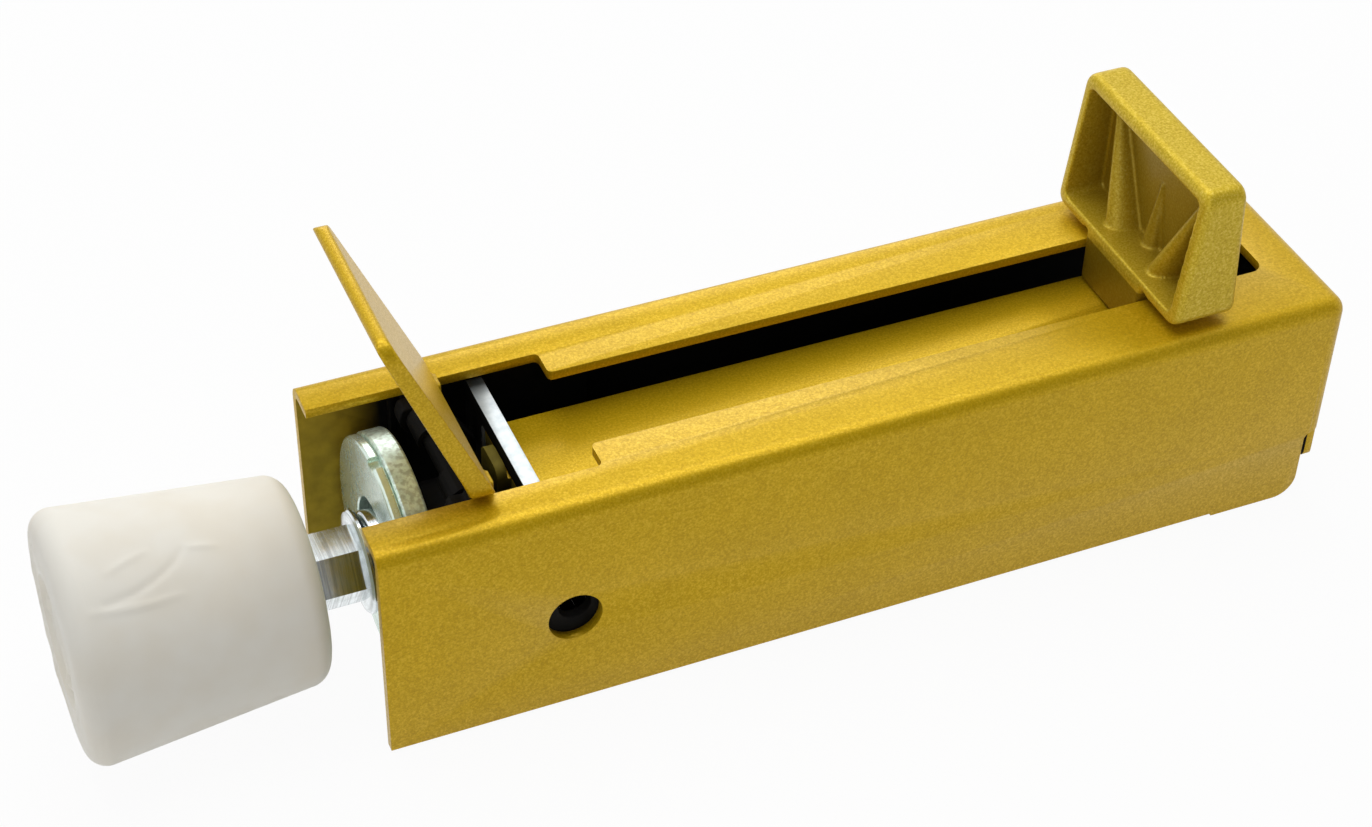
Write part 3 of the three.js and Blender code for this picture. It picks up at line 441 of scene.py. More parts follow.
@dataclass(frozen=True)
class MouldedRubber(Finish):
    """Off-white moulded rubber: smooth and matt, a little yellower in faint patches.

    The mould's grain is about 0.1 mm on the real one. It is drawn as coarse as grain_mm says, because a
    finer one doesn't show in the render.
    """

    base_hex: str = "F9F6EC"
    shade_hex: str = "F6F1E4"
    mottle_mm: float = 9.0
    grain_mm: float = 0.4
    grain_depth_mm: float = 0.01
    gloss_roughness: float = 0.46
    dull_roughness: float = 0.6
    specular: float = 0.4

    def build(self) -> bpy.types.Material:
        """Builds the rubber's material.

        Returns:
            The material.
        """
        blank = self.begin()
        tree = blank.tree
        inputs = {"Vector": blank.place, "Scale": per_metre(self.mottle_mm), "Detail": 2.0}
        patches = add_node(tree, "ShaderNodeTexNoise", inputs).outputs["Fac"]
        stops = [(0.35, self.shade_hex), (0.6, self.base_hex)]
        colour = add_node(tree, "ShaderNodeValToRGB", {"Fac": patches}, stops=stops).outputs["Color"]
        inputs = {"Vector": blank.place, "Scale": per_metre(self.grain_mm), "Detail": 3.0}
        grain = add_node(tree, "ShaderNodeTexNoise", inputs).outputs["Fac"]
        inputs = {"Value": grain, "To Min": self.gloss_roughness, "To Max": self.dull_roughness}
        gloss = add_node(tree, "ShaderNodeMapRange", inputs).outputs["Result"]
        inputs = {"Strength": 0.3, "Distance": self.grain_depth_mm * MM, "Height": grain}
        skin = add_node(tree, "ShaderNodeBump", inputs).outputs["Normal"]
        fill(blank.shader, {"Base Color": colour, "Roughness": gloss, "Normal": skin})
        fill(blank.shader, {"Specular IOR Level": self.specular})
        return blank.material


@dataclass(frozen=True)
class StudioSurface(Finish):
    """Plain white paper: the eye sees it nearly white, with the object's soft shadow on it."""

    base_hex: str = "EFEFEF"
    roughness: float = 0.9
    white_share: float = 0.95

    def build(self) -> bpy.types.Material:
        """Builds the floor's material, most of which shows plain white to the camera and to gloss.

        Returns:
            The material.
        """
        blank = self.begin()
        tree = blank.tree
        fill(blank.shader, {"Base Color": linear(self.base_hex), "Roughness": self.roughness})
        white = add_node(tree, "ShaderNodeEmission", {"Color": linear(WHITE_HEX), "Strength": 1.0})
        path = add_node(tree, "ShaderNodeLightPath").outputs
        inputs = {0: path["Is Camera Ray"], 1: path["Is Glossy Ray"]}
        eye = add_node(tree, "ShaderNodeMath", inputs, {"operation": "MAXIMUM"})
        inputs = {0: eye.outputs[0], 1: path["Is Transmission Ray"]}
        seen = add_node(tree, "ShaderNodeMath", inputs, {"operation": "MAXIMUM"})
        share = add_node(tree, "ShaderNodeMapRange", {"Value": seen.outputs[0], "To Max": self.white_share})
        inputs = {0: share.outputs["Result"], 1: blank.shader.outputs["BSDF"], 2: white.outputs[0]}
        both = add_node(tree, "ShaderNodeMixShader", inputs)
        fill(blank.output, {"Surface": both.outputs[0]})
        return blank.material


def cuboid(low: Sequence[float], high: Sequence[float]) -> bmesh.types.BMesh:
    """Makes a box between two corners.

    Args:
        low: The lowest corner, in metres.
        high: The highest corner, in metres.

    Returns:
        The box.
    """
    shape = bmesh.new()
    bmesh.ops.create_cube(shape, size=1.0)
    size = Vector(high) - Vector(low)
    bmesh.ops.scale(shape, vec=size, verts=shape.verts)
    bmesh.ops.translate(shape, vec=(Vector(high) + Vector(low)) / 2, verts=shape.verts)
    return shape


def rounded_edges(
    shape: bmesh.types.BMesh,
    chosen: Callable[[bmesh.types.BMEdge], bool],
    radius: float,
    segments: int,
) -> bmesh.types.BMesh:
    """Rounds the edges that a test picks.

    Args:
        shape: The mesh to work on.
        chosen: Says whether an edge is rounded.
        radius: The round's radius, in metres.
        segments: Steps in the round.

    Returns:
        The same mesh.
    """
    edges = [edge for edge in shape.edges if chosen(edge)]
    bmesh.ops.bevel(
        shape,
        geom=edges,
        offset=radius,
        offset_type="OFFSET",
        segments=segments,
        profile=0.5,
        affect="EDGES",
        clamp_overlap=True,
        material=-1,
    )
    return shape


def sharp(angle_degrees: float) -> Callable[[bmesh.types.BMEdge], bool]:
    """Gives a test for edges at which the surface turns by more than an angle."""
    limit = math.radians(angle_degrees)
    return lambda edge: len(edge.link_faces) == 2 and edge.calc_face_angle(0.0) > limit


def runs_along(axis: Axis) -> Callable[[bmesh.types.BMEdge], bool]:
    """Gives a test for edges that run along an axis.

    Args:
        axis: The axis.

    Returns:
        The test.
    """

    def test(edge: bmesh.types.BMEdge) -> bool:
        """Says whether the edge's direction is the axis."""
        direction = (edge.verts[1].co - edge.verts[0].co).normalized()
        return abs(direction[axis.value]) > STRAIGHT

    return test


def pressed(
    corners: Sequence[tuple[float, float, float]],
    axis: Axis,
    start: float,
    end: float,
    segments: int = 6,
) -> bmesh.types.BMesh:
    """Presses an outline into a solid along an axis.

    Args:
        corners: Two coordinates and a corner radius each, in metres, in the order of the other two axes.
        axis: The direction of pressing.
        start: Where the solid starts on that axis.
        end: Where it ends.
        segments: Steps in each rounded corner.

    Returns:
        The solid.
    """
    shape = bmesh.new()
    others = [i for i in range(3) if i != axis.value]
    made: list[tuple[bmesh.types.BMVert, float]] = []
    for first, second, radius in corners:
        point = Vector((0.0, 0.0, 0.0))
        point[axis.value] = start
        point[others[0]] = first
        point[others[1]] = second
        made.append((shape.verts.new(point), radius))
    shape.faces.new([vertex for vertex, _ in made])
    count = len(made)
    reaches: list[float] = []
    for index, (vertex, radius) in enumerate(made):
        back = (made[index - 1][0].co - vertex.co).normalized()
        ahead = (made[(index + 1) % count][0].co - vertex.co).normalized()
        reaches.append(radius / math.tan(back.angle(ahead) / 2))
    for (vertex, radius), reach in zip(made, reaches):
        if radius > 0:
            bmesh.ops.bevel(
                shape,
                geom=[vertex],
                offset=reach,
                offset_type="OFFSET",
                segments=segments,
                profile=0.5,
                affect="VERTICES",
                material=-1,
            )
    swept = bmesh.ops.extrude_face_region(shape, geom=list(shape.faces), use_keep_orig=True)
    moved = [item for item in swept["geom"] if isinstance(item, bmesh.types.BMVert)]
    shift = Vector((0.0, 0.0, 0.0))
    shift[axis.value] = end - start
    bmesh.ops.translate(shape, vec=shift, verts=moved)
    bmesh.ops.recalc_face_normals(shape, faces=shape.faces)
    return shape


def spun(
    profile: Sequence[tuple[float, float]],
    centre: tuple[float, float],
    steps: int = 96,
    closed: bool = True,
) -> bmesh.types.BMesh:
    """Turns a profile round an axis that runs along X.

    Args:
        profile: Points (x, radius), in metres.
        centre: The axis's place across and its height.
        steps: Steps in the full turn.
        closed: Whether the last point joins the first.

    Returns:
        The turned solid.
    """
    shape = bmesh.new()
    vertices = [shape.verts.new((x, centre[0], centre[1] + radius)) for x, radius in profile]
    pairs = list(zip(vertices, vertices[1:]))
    if closed:
        pairs.append((vertices[-1], vertices[0]))
    edges = [shape.edges.new(pair) for pair in pairs]
    bmesh.ops.spin(
        shape,
        geom=vertices + edges,
        cent=(0.0, centre[0], centre[1]),
        axis=(1.0, 0.0, 0.0),
        angle=math.tau,
        steps=steps,
        use_merge=True,
    )
    bmesh.ops.remove_doubles(shape, verts=shape.verts, dist=WELD)
    bmesh.ops.dissolve_degenerate(shape, dist=CLOSE_WELD, edges=shape.edges)
    bmesh.ops.recalc_face_normals(shape, faces=shape.faces)
    return shape


def round_bar(
    axis: Axis,
    radius: float,
    start: float,
    end: float,
    place: tuple[float, float],
    sides: int = 64,
    end_radius: float | None = None,
) -> bmesh.types.BMesh:
    """Makes a round bar or a cone along an axis.

    Args:
        axis: The bar's direction.
        radius: Its radius at the start.
        start: Where it starts.
        end: Where it ends.
        place: The other two coordinates of its centre line.
        sides: Sides of the round.
        end_radius: Its radius at the end, if it tapers.

    Returns:
        The bar.
    """
    shape = bmesh.new()
    last = radius if end_radius is None else end_radius
    bmesh.ops.create_cone(
        shape,
        cap_ends=True,
        segments=sides,
        radius1=radius,
        radius2=last,
        depth=end - start,
    )
    turns = {
        Axis.X: Matrix.Rotation(math.pi / 2, 4, "Y"),
        Axis.Y: Matrix.Rotation(-math.pi / 2, 4, "X"),
        Axis.Z: Matrix.Identity(4),
    }
    middle = Vector((0.0, 0.0, 0.0))
    middle[axis.value] = (start + end) / 2
    others = [i for i in range(3) if i != axis.value]
    middle[others[0]], middle[others[1]] = place
    bmesh.ops.transform(shape, matrix=Matrix.Translation(middle) @ turns[axis], verts=shape.verts)
    return shape


def quarter(
    centre: tuple[float, float],
    radius: float,
    first_degrees: float,
    last_degrees: float,
    steps: int = 12,
) -> list[tuple[float, float]]:
    """Gives the points of a round in a section.

    Args:
        centre: The round's centre as x and radius.
        radius: Its size.
        first_degrees: The angle at which it starts.
        last_degrees: The angle at which it ends.
        steps: Steps between them.

    Returns:
        The points, ends included.
    """
    across, up = centre
    turn = last_degrees - first_degrees
    angles = [math.radians(first_degrees + turn * step / steps) for step in range(steps + 1)]
    return [(across + radius * math.cos(angle), up + radius * math.sin(angle)) for angle in angles]


def distance_to_line(point: Vector, first: Vector, last: Vector) -> float:
    """Gives the distance from a point to a straight line between two others.

    Args:
        point: The point.
        first: The line's first end.
        last: Its last end.

    Returns:
        The shortest distance.
    """
    way = last - first
    share = min(max((point - first).dot(way) / way.length_squared, 0.0), 1.0)
    return (point - first - way * share).length


def helix(
    centre: tuple[float, float],
    start: float,
    end: float,
    mean_radius: float,
    wire_radius: float,
    turns: int,
) -> bmesh.types.BMesh:
    """Winds a wire into a coil along X.

    The section is swept along its own face, so the wire comes out flat. It lies inside the housing.

    Args:
        centre: The coil's place across and its height.
        start: The X of its first end.
        end: The X of its last end.
        mean_radius: The radius of the coil's centre line.
        wire_radius: Half the width of the wire.
        turns: Number of turns.

    Returns:
        The coil.
    """
    steps = turns * 24
    shape = bmesh.new()
    bmesh.ops.create_circle(shape, cap_ends=True, segments=10, radius=wire_radius)
    first = Vector((start + wire_radius, centre[0], centre[1] + mean_radius))
    place = Matrix.Translation(first) @ Matrix.Rotation(math.pi / 2, 4, "Y")
    bmesh.ops.transform(shape, matrix=place, verts=shape.verts)
    advance = (end - start - 2 * wire_radius) / steps
    bmesh.ops.spin(
        shape,
        geom=list(shape.verts) + list(shape.edges) + list(shape.faces),
        cent=(0.0, centre[0], centre[1]),
        axis=(1.0, 0.0, 0.0),
        dvec=(advance, 0.0, 0.0),
        angle=math.tau * turns,
        steps=steps,
        use_merge=False,
    )
    bmesh.ops.remove_doubles(shape, verts=shape.verts, dist=CLOSE_WELD)
    bmesh.ops.recalc_face_normals(shape, faces=shape.faces)
    return shape


class Workpiece:
    """One mesh that is cut, joined and softened before it is dressed and fitted."""

    def __init__(self, name: str, shape: bmesh.types.BMesh) -> None:
        """Takes the first shape.

        Args:
            name: The piece's name.
            shape: Its first mesh, which is used up.
        """
        mesh = bpy.data.meshes.new(name)
        shape.to_mesh(mesh)
        shape.free()
        self.object = bpy.data.objects.new(name, mesh)
        bpy.context.scene.collection.objects.link(self.object)

    @classmethod
    def copy_of(cls, node: str, name: str) -> "Workpiece":
        """Starts from a merged copy of a solid of the frame.

        Args:
            node: The solid's name.
            name: The new piece's name.

        Returns:
            The workpiece.
        """
        shape = bmesh.new()
        shape.from_mesh(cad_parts[node].data)
        bmesh.ops.remove_doubles(shape, verts=shape.verts, dist=WELD)
        flat = math.radians(1.0)
        bmesh.ops.dissolve_limit(shape, angle_limit=flat, verts=shape.verts, edges=shape.edges)
        return cls(name, shape)

    def bake(self) -> "Workpiece":
        """Makes the result of the modifiers the mesh itself.

        Returns:
            The workpiece.
        """
        graph = bpy.context.evaluated_depsgraph_get()
        made = bpy.data.meshes.new_from_object(self.object.evaluated_get(graph))
        old = self.object.data
        self.object.modifiers.clear()
        self.object.data = made
        bpy.data.meshes.remove(old)
        return self

    def _combine(self, shape: bmesh.types.BMesh, operation: str) -> "Workpiece":
        """Cuts, joins or intersects with another shape.

        Args:
            shape: The other shape, which is used up.
            operation: What is done with it.

        Returns:
            The workpiece.
        """
        tool = Workpiece("tool", shape)
        modifier = self.object.modifiers.new("combine", "BOOLEAN")
        modifier.operation = operation
        modifier.solver = "EXACT"
        modifier.object = tool.object
        self.bake()
        tool.discard()
        return self

    def cut(self, shape: bmesh.types.BMesh) -> "Workpiece":
        """Cuts a shape out."""
        return self._combine(shape, "DIFFERENCE")

    def join(self, shape: bmesh.types.BMesh) -> "Workpiece":
        """Joins a shape on."""
        return self._combine(shape, "UNION")

    def keep_inside(self, shape: bmesh.types.BMesh) -> "Workpiece":
        """Keeps what lies inside a shape."""
        return self._combine(shape, "INTERSECT")

    def wall(self, thickness: float) -> "Workpiece":
        """Gives an open skin a wall on its inner side.

        Args:
            thickness: The sheet's thickness, in metres.

        Returns:
            The workpiece.
        """
        modifier = self.object.modifiers.new("wall", "SOLIDIFY")
        modifier.thickness = thickness
        modifier.offset = -1.0
        modifier.use_even_offset = True
        return self.bake()

    def soften(self, width: float, segments: int, angle_degrees: float = 35.0) -> "Workpiece":
        """Rounds every sharp edge a little.

        Args:
            width: The round's width, in metres.
            segments: Steps in the round.
            angle_degrees: Edges that turn more than this are rounded.

        Returns:
            The workpiece.
        """
        modifier = self.object.modifiers.new("soften", "BEVEL")
        modifier.width = width
        modifier.segments = segments
        modifier.limit_method = "ANGLE"
        modifier.angle_limit = math.radians(angle_degrees)
        modifier.use_clamp_overlap = True
        modifier.harden_normals = True
        return self.bake()

    def cast(self, grain: float, passes: int) -> "Workpiece":
        """Melts the shape into one even skin with soft fillets, as a casting has.

        Args:
            grain: The skin's mesh size, in metres.
            passes: Rounds of smoothing.

        Returns:
            The workpiece.
        """
        remesh = self.object.modifiers.new("skin", "REMESH")
        remesh.mode = "VOXEL"
        remesh.voxel_size = grain
        remesh.use_smooth_shade = True
        smooth = self.object.modifiers.new("fillets", "SMOOTH")
        smooth.factor = 0.5
        smooth.iterations = passes
        return self.bake()

    def mark(self, name: str, amount: Callable[[Vector], float]) -> "Workpiece":
        """Stores a number at each vertex for the finish to read.

        Args:
            name: The attribute's name.
            amount: Gives the number for a place.

        Returns:
            The workpiece.
        """
        values = self.object.data.attributes.new(name, "FLOAT", "POINT")
        for vertex, value in zip(self.object.data.vertices, values.data):
            value.value = amount(vertex.co)
        return self

    def discard(self) -> None:
        """Removes the workpiece."""
        mesh = self.object.data
        bpy.data.objects.remove(self.object)
        bpy.data.meshes.remove(mesh)

    def dress(
        self,
        material: bpy.types.Material,
        body: Body,
        slot: Slot,
        nodes: Iterable[str],
        smooth_degrees: float = 40.0,
    ) -> bpy.types.Object:
        """Gives the piece its finish and fits it to the frame.

        Args:
            material: Its material.
            body: The body it rides on.
            slot: The record's slot that it stands for; not used.
            nodes: The solids that it stands for.
            smooth_degrees: Faces that meet at less than this shade as one.

        Returns:
            The finished object.
        """
        mesh = self.object.data
        mesh.materials.clear()
        mesh.materials.append(material)
        mesh.shade_smooth()
        mesh.set_sharp_from_angle(angle=math.radians(smooth_degrees))
        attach(self.object, body.value)
        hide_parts(*nodes)
        LOG.info("%s: %d faces on %s", self.object.name, len(mesh.polygons), body.value)
        return self.object


def second_finish(
    piece: bpy.types.Object,
    material: bpy.types.Material,
    chosen: Callable[[bpy.types.MeshPolygon], bool],
) -> None:
    """Gives some faces of a finished piece another finish.

    Args:
        piece: The finished piece.
        material: The other material.
        chosen: Says which faces get it.
    """
    piece.data.materials.append(material)
    for face in piece.data.polygons:
        if chosen(face):
            face.material_index = 1


def dress_node(node: str, material: bpy.types.Material) -> None:
    """Gives a solid of the frame a finish and leaves its mesh as it is.

    Args:
        node: The solid's name.
        material: Its material.
    """
    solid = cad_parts[node]
    solid.data.materials.clear()
    solid.data.materials.append(material)
    LOG.info("%s: kept as it is", node)


@dataclass
class Finishes:
    """The finishes of the door stop."""

    enamel: bpy.types.Material = field(init=False)
    cast_enamel: bpy.types.Material = field(init=False)
    overspray_and_painted_shade: bpy.types.Material = field(init=False)
    tab_painted_shade: bpy.types.Material = field(init=False)
    zinc: bpy.types.Material = field(init=False)
    bright_zinc: bpy.types.Material = field(init=False)
    sheared_zinc: bpy.types.Material = field(init=False)
    turned_zinc: bpy.types.Material = field(init=False)
    black: bpy.types.Material = field(init=False)
    wire: bpy.types.Material = field(init=False)
    rubber: bpy.types.Material = field(init=False)

    def __post_init__(self) -> None:
        """Builds each material once."""
        self.enamel = FleckedEnamel("flecked_gold_enamel").build()
        self.cast_enamel = FleckedEnamel(
            "flecked_gold_enamel_on_casting",
            base_hex="CFB22A",
            dark_hex="B9991A",
            light_hex="E2C954",
            recess_shade_hex="745A08",
            roughness=0.42,
            peel_mm=0.7,
            peel_depth_mm=0.03,
        ).build()
        self.overspray_and_painted_shade = OversprayIntoPaintedShade("channel_mist_and_painted_shade").build()
        self.tab_painted_shade = OversprayIntoPaintedShade(
            "painted_shade_on_tab",
            mouth_hex="6F6320",
            mouth_end_mm=-40.0,
        ).build()
        self.zinc = ZincPlating("zinc_plating").build()
        self.bright_zinc = ZincPlating(
            "zinc_plating_on_lock_plate",
            base_hex="D6DDDF",
            cloud_hex="C6CFD2",
            roughness=0.42,
            cloud_mm=1.2,
        ).build()
        self.sheared_zinc = ZincPlating("zinc_plating_on_sheared_edge", stain=0.4, roughness=0.34).build()
        self.turned_zinc = ZincPlating(
            "zinc_plating_on_turned_steel",
            base_hex="EEF4F6",
            cloud_hex="DCE4E4",
            turned_mm=0.3,
            roughness=0.14,
            metallic=1.0,
        ).build()
        self.black = BlackOxide("black_oxide_steel").build()
        self.wire = DrawnWire("drawn_spring_wire").build()
        self.rubber = MouldedRubber("moulded_off_white_rubber").build()


@dataclass
class Housing:
    """The folded steel channel with its slot, its end wall and the hole in its sides."""

    sheet: float = 1.5 * MM
    fold: float = 2.6 * MM
    lift: float = 0.45 * MM
    lift_from_end: float = 18 * MM
    back_corner: float = 3.6 * MM
    slit_width: float = 1.8 * MM
    slit_height: float = 12 * MM
    slit_top: float = 1.2 * MM
    end_lift: float = 5 * MM
    flap_corner: float = 1.8 * MM
    flap_edge: float = 0.7 * MM
    wide_length: float = 34.2 * MM
    wide_flange: float = 6.76 * MM
    narrow_flange: float = 11.4 * MM
    end_margin: float = 8 * MM
    step_corner: float = 0.8 * MM
    end_corner: float = 2 * MM
    hole_radius: float = 4 * MM
    hole_from_end: float = 27.5 * MM
    hole_height: float = 16.5 * MM
    burr: float = 0.22 * MM
    hair: float = 0.01 * MM
    overrun: float = 2 * MM

    def skin(self, low: Vector, high: Vector) -> bmesh.types.BMesh:
        """Folds the outer skin, open at its back and at the foot end.

        Args:
            low: The lowest corner of the shell's box.
            high: Its highest corner.

        Returns:
            The skin.
        """
        shape = cuboid(low, high)

        def folded(edge: bmesh.types.BMEdge) -> bool:
            """Says whether the sheet is folded at the edge.

            Args:
                edge: An edge of the box.

            Returns:
                Whether it is between two walls.
            """
            middle = (edge.verts[0].co + edge.verts[1].co) / 2
            at_top = abs(middle.z - high.z) < self.hair
            at_end = abs(middle.x - high.x) < self.hair
            at_side = abs(abs(middle.y) - high.y) < self.hair
            return at_top and (at_side or at_end) or at_end and at_side

        rounded_edges(shape, folded, self.fold, segments=12)
        open_faces = [face for face in shape.faces if min(face.normal.z, face.normal.x) < -STRAIGHT]
        bmesh.ops.delete(shape, geom=open_faces, context="FACES")
        return shape

    def slot(self, low: Vector, high: Vector) -> bmesh.types.BMesh:
        """Makes the cutter for the stepped slot.

        Args:
            low: The lowest corner of the shell's box.
            high: Its highest corner.

        Returns:
            The cutter.
        """
        wide = high.y - self.wide_flange
        narrow = high.y - self.narrow_flange
        step = low.x + self.wide_length
        end = high.x - self.end_margin
        start = low.x - self.overrun
        corners = [
            (start, -wide, 0.0),
            (step, -wide, self.step_corner),
            (step, -narrow, self.step_corner),
            (end, -narrow, self.end_corner),
            (end, narrow, self.end_corner),
            (step, narrow, self.step_corner),
            (step, wide, self.step_corner),
            (start, wide, 0.0),
        ]
        return pressed(corners, Axis.Z, high.z - self.sheet - self.overrun, high.z + self.overrun)

    def back_edge(self, low: Vector, high: Vector) -> bmesh.types.BMesh:
        """Makes the cutter that shapes the back edge, the slits and the end wall's rounded lower edge.

        Args:
            low: The lowest corner of the shell's box.
            high: Its highest corner.

        Returns:
            The cutter.
        """
        below = -self.overrun
        slit_end = high.x - self.sheet
        slit_start = slit_end - self.slit_width
        outside = high.x + self.hair
        corners = [
            (low.x - self.overrun, below, 0.0),
            (high.x + self.overrun, below, 0.0),
            (high.x + self.overrun, self.slit_height, 0.0),
            (outside, self.slit_height, 0.0),
            (outside, self.end_lift, self.flap_edge),
            (slit_end, self.end_lift, self.flap_edge),
            (slit_end, self.slit_height, 0.0),
            (slit_start, self.slit_height, self.slit_top),
            (slit_start, 0.0, self.back_corner),
            (high.x - self.lift_from_end, 0.0, 0.0),
            (high.x - self.lift_from_end, self.lift, 0.0),
            (low.x - self.overrun, self.lift, 0.0),
        ]
        return pressed(corners, Axis.Y, low.y - self.overrun, high.y + self.overrun, segments=10)

    def flap_sides(self, high: Vector) -> bmesh.types.BMesh:
        """Makes the cutter that frees the end wall's lower part from the side walls.

        Args:
            high: The highest corner of the shell's box.

        Returns:
            The cutter.
        """
        outer = high.y + self.overrun
        inner = high.y - self.sheet
        corners = [
            (-outer, -self.overrun, 0.0),
            (outer, -self.overrun, 0.0),
            (outer, self.slit_height, 0.0),
            (inner, self.slit_height, 0.0),
            (inner, self.end_lift - self.hair, self.flap_corner),
            (-inner, self.end_lift - self.hair, self.flap_corner),
            (-inner, self.slit_height, 0.0),
            (-outer, self.slit_height, 0.0),
        ]
        start = high.x - self.sheet - self.hair
        return pressed(corners, Axis.X, start, high.x + self.overrun, segments=8)

    def build(self, finishes: Finishes) -> None:
        """Builds and dresses the shell.

        Args:
            finishes: The finishes to choose from.
        """
        low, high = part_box("housing_shell")
        shell = Workpiece("housing", self.skin(low, high))
        shell.wall(self.sheet)
        shell.cut(self.slot(low, high))
        shell.cut(self.back_edge(low, high))
        shell.cut(self.flap_sides(high))
        hole = (low.x + self.hole_from_end, self.hole_height)
        shell.cut(round_bar(Axis.Y, self.hole_radius, low.y - self.overrun, high.y + self.overrun, hole))
        shell.soften(self.burr, segments=3, angle_degrees=40.0)
        made = shell.dress(finishes.enamel, Body.ROOT, Slot.GOLD, ["housing_shell"])
        inner_side = high.y - self.sheet + self.hair
        inner_top = high.z - self.sheet + self.hair
        inner_end = high.x - self.sheet + self.hair

        def inside(face: bpy.types.MeshPolygon) -> bool:
            """Says whether a face is on the channel's inner side.

            Args:
                face: A face of the shell.

            Returns:
                Whether it is inside.
            """
            x, y, z = face.center
            return abs(y) < inner_side and z < inner_top and x < inner_end

        # Painted shade: the shell's inner faces get enamel mist at the mouth that darkens to near-black
        # further inside.
        second_finish(made, finishes.overspray_and_painted_shade, inside)


@dataclass(frozen=True)
class Coil:
    """A spring that shortens with a joint: its solid, its body, its wire, its turns and its held end."""

    node: str
    body: Body
    joint: Joint
    travel: float
    wire_radius: float
    turns: int
    held_at_start: bool = False

    def build(self, finishes: Finishes) -> None:
        """Winds and dresses the spring.

        Args:
            finishes: The finishes to choose from.
        """
        low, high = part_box(self.node)
        middle = (low + high) / 2
        mean = (high.y - low.y) / 2 - self.wire_radius
        shape = helix((middle.y, middle.z), low.x, high.x, mean, self.wire_radius, self.turns)
        coil = Workpiece(f"{self.node}_coil", shape)
        made = coil.dress(finishes.wire, self.body, Slot.SPRING, [self.node], smooth_degrees=60.0)
        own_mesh(made)


@dataclass
class Inside:
    """What lies hidden in the housing: the bracket, the rods, the pins and the springs."""

    edge: float = 0.2 * MM
    plain_black: tuple[str, ...] = ("return_guide_rod", "guide_rod_clip", "release_pin")
    coils: tuple[Coil, ...] = (
        Coil(
            "return_spring",
            Body.ROOT,
            Joint.CARRIAGE_SLIDE,
            travel=50 * MM,
            wire_radius=0.4 * MM,
            turns=16,
            held_at_start=True,
        ),
        Coil(
            "lock_spring_near",
            Body.ROOT,
            Joint.LOCK_TILT,
            travel=1.05 * MM,
            wire_radius=0.35 * MM,
            turns=6,
        ),
        Coil(
            "lock_spring_far",
            Body.ROOT,
            Joint.LOCK_TILT,
            travel=1.05 * MM,
            wire_radius=0.35 * MM,
            turns=6,
        ),
        Coil(
            "pressure_spring",
            Body.CARRIAGE,
            Joint.PLUNGER_GIVE,
            travel=5 * MM,
            wire_radius=0.8 * MM,
            turns=10,
        ),
    )

    def build(self, finishes: Finishes) -> None:
        """Builds and dresses the inner pieces.

        Args:
            finishes: The finishes to choose from.
        """
        bracket = Workpiece.copy_of("mounting_bracket", "door_bracket")
        bracket.soften(self.edge, segments=2)
        bracket.dress(finishes.black, Body.ROOT, Slot.BLACK, ["mounting_bracket"])
        for node in self.plain_black:
            dress_node(node, finishes.black)
        for coil in self.coils:
            coil.build(finishes)


@dataclass(frozen=True)
class Rib:
    """A tapered rib in the press pedal's hollow: places across as shares of the pedal's half width."""

    foot_share: float
    top_share: float
    depth: float
    half_width: float
    height_share: float
    top_scale: float = 0.15
    sides: int = 64
    root: float = 1 * MM

    def shape(self, back: float, bottom: float, height: float, half: float) -> bmesh.types.BMesh:
        """Makes the rib as half a leaning cone against the hollow's back.

        Args:
            back: The X of the hollow's back.
            bottom: The height of its foot.
            height: The pedal's height.
            half: The pedal's half width.

        Returns:
            The rib, with a root that reaches into the back wall.
        """
        tall = height * self.height_share
        cone = round_bar(Axis.Z, 1.0, 0.0, tall, (0.0, 0.0), self.sides, self.top_scale)
        foot = self.foot_share * half
        lean = (self.top_share * half - foot) / tall
        shear = Matrix.Identity(4)
        shear[1][2] = lean
        girth = Matrix.Diagonal((self.depth, self.half_width, 1, 1))
        place = Matrix.Translation((back, foot, bottom)) @ shear @ girth
        bmesh.ops.transform(cone, matrix=place, verts=cone.verts)
        plane = Vector((back + self.root, 0.0, 0.0))
        geometry = list(cone.verts) + list(cone.edges) + list(cone.faces)
        bmesh.ops.bisect_plane(cone, geom=geometry, plane_co=plane, plane_no=(1, 0, 0), clear_outer=True)
        bmesh.ops.holes_fill(cone, edges=cone.edges)
        bmesh.ops.recalc_face_normals(cone, faces=cone.faces)
        return cone


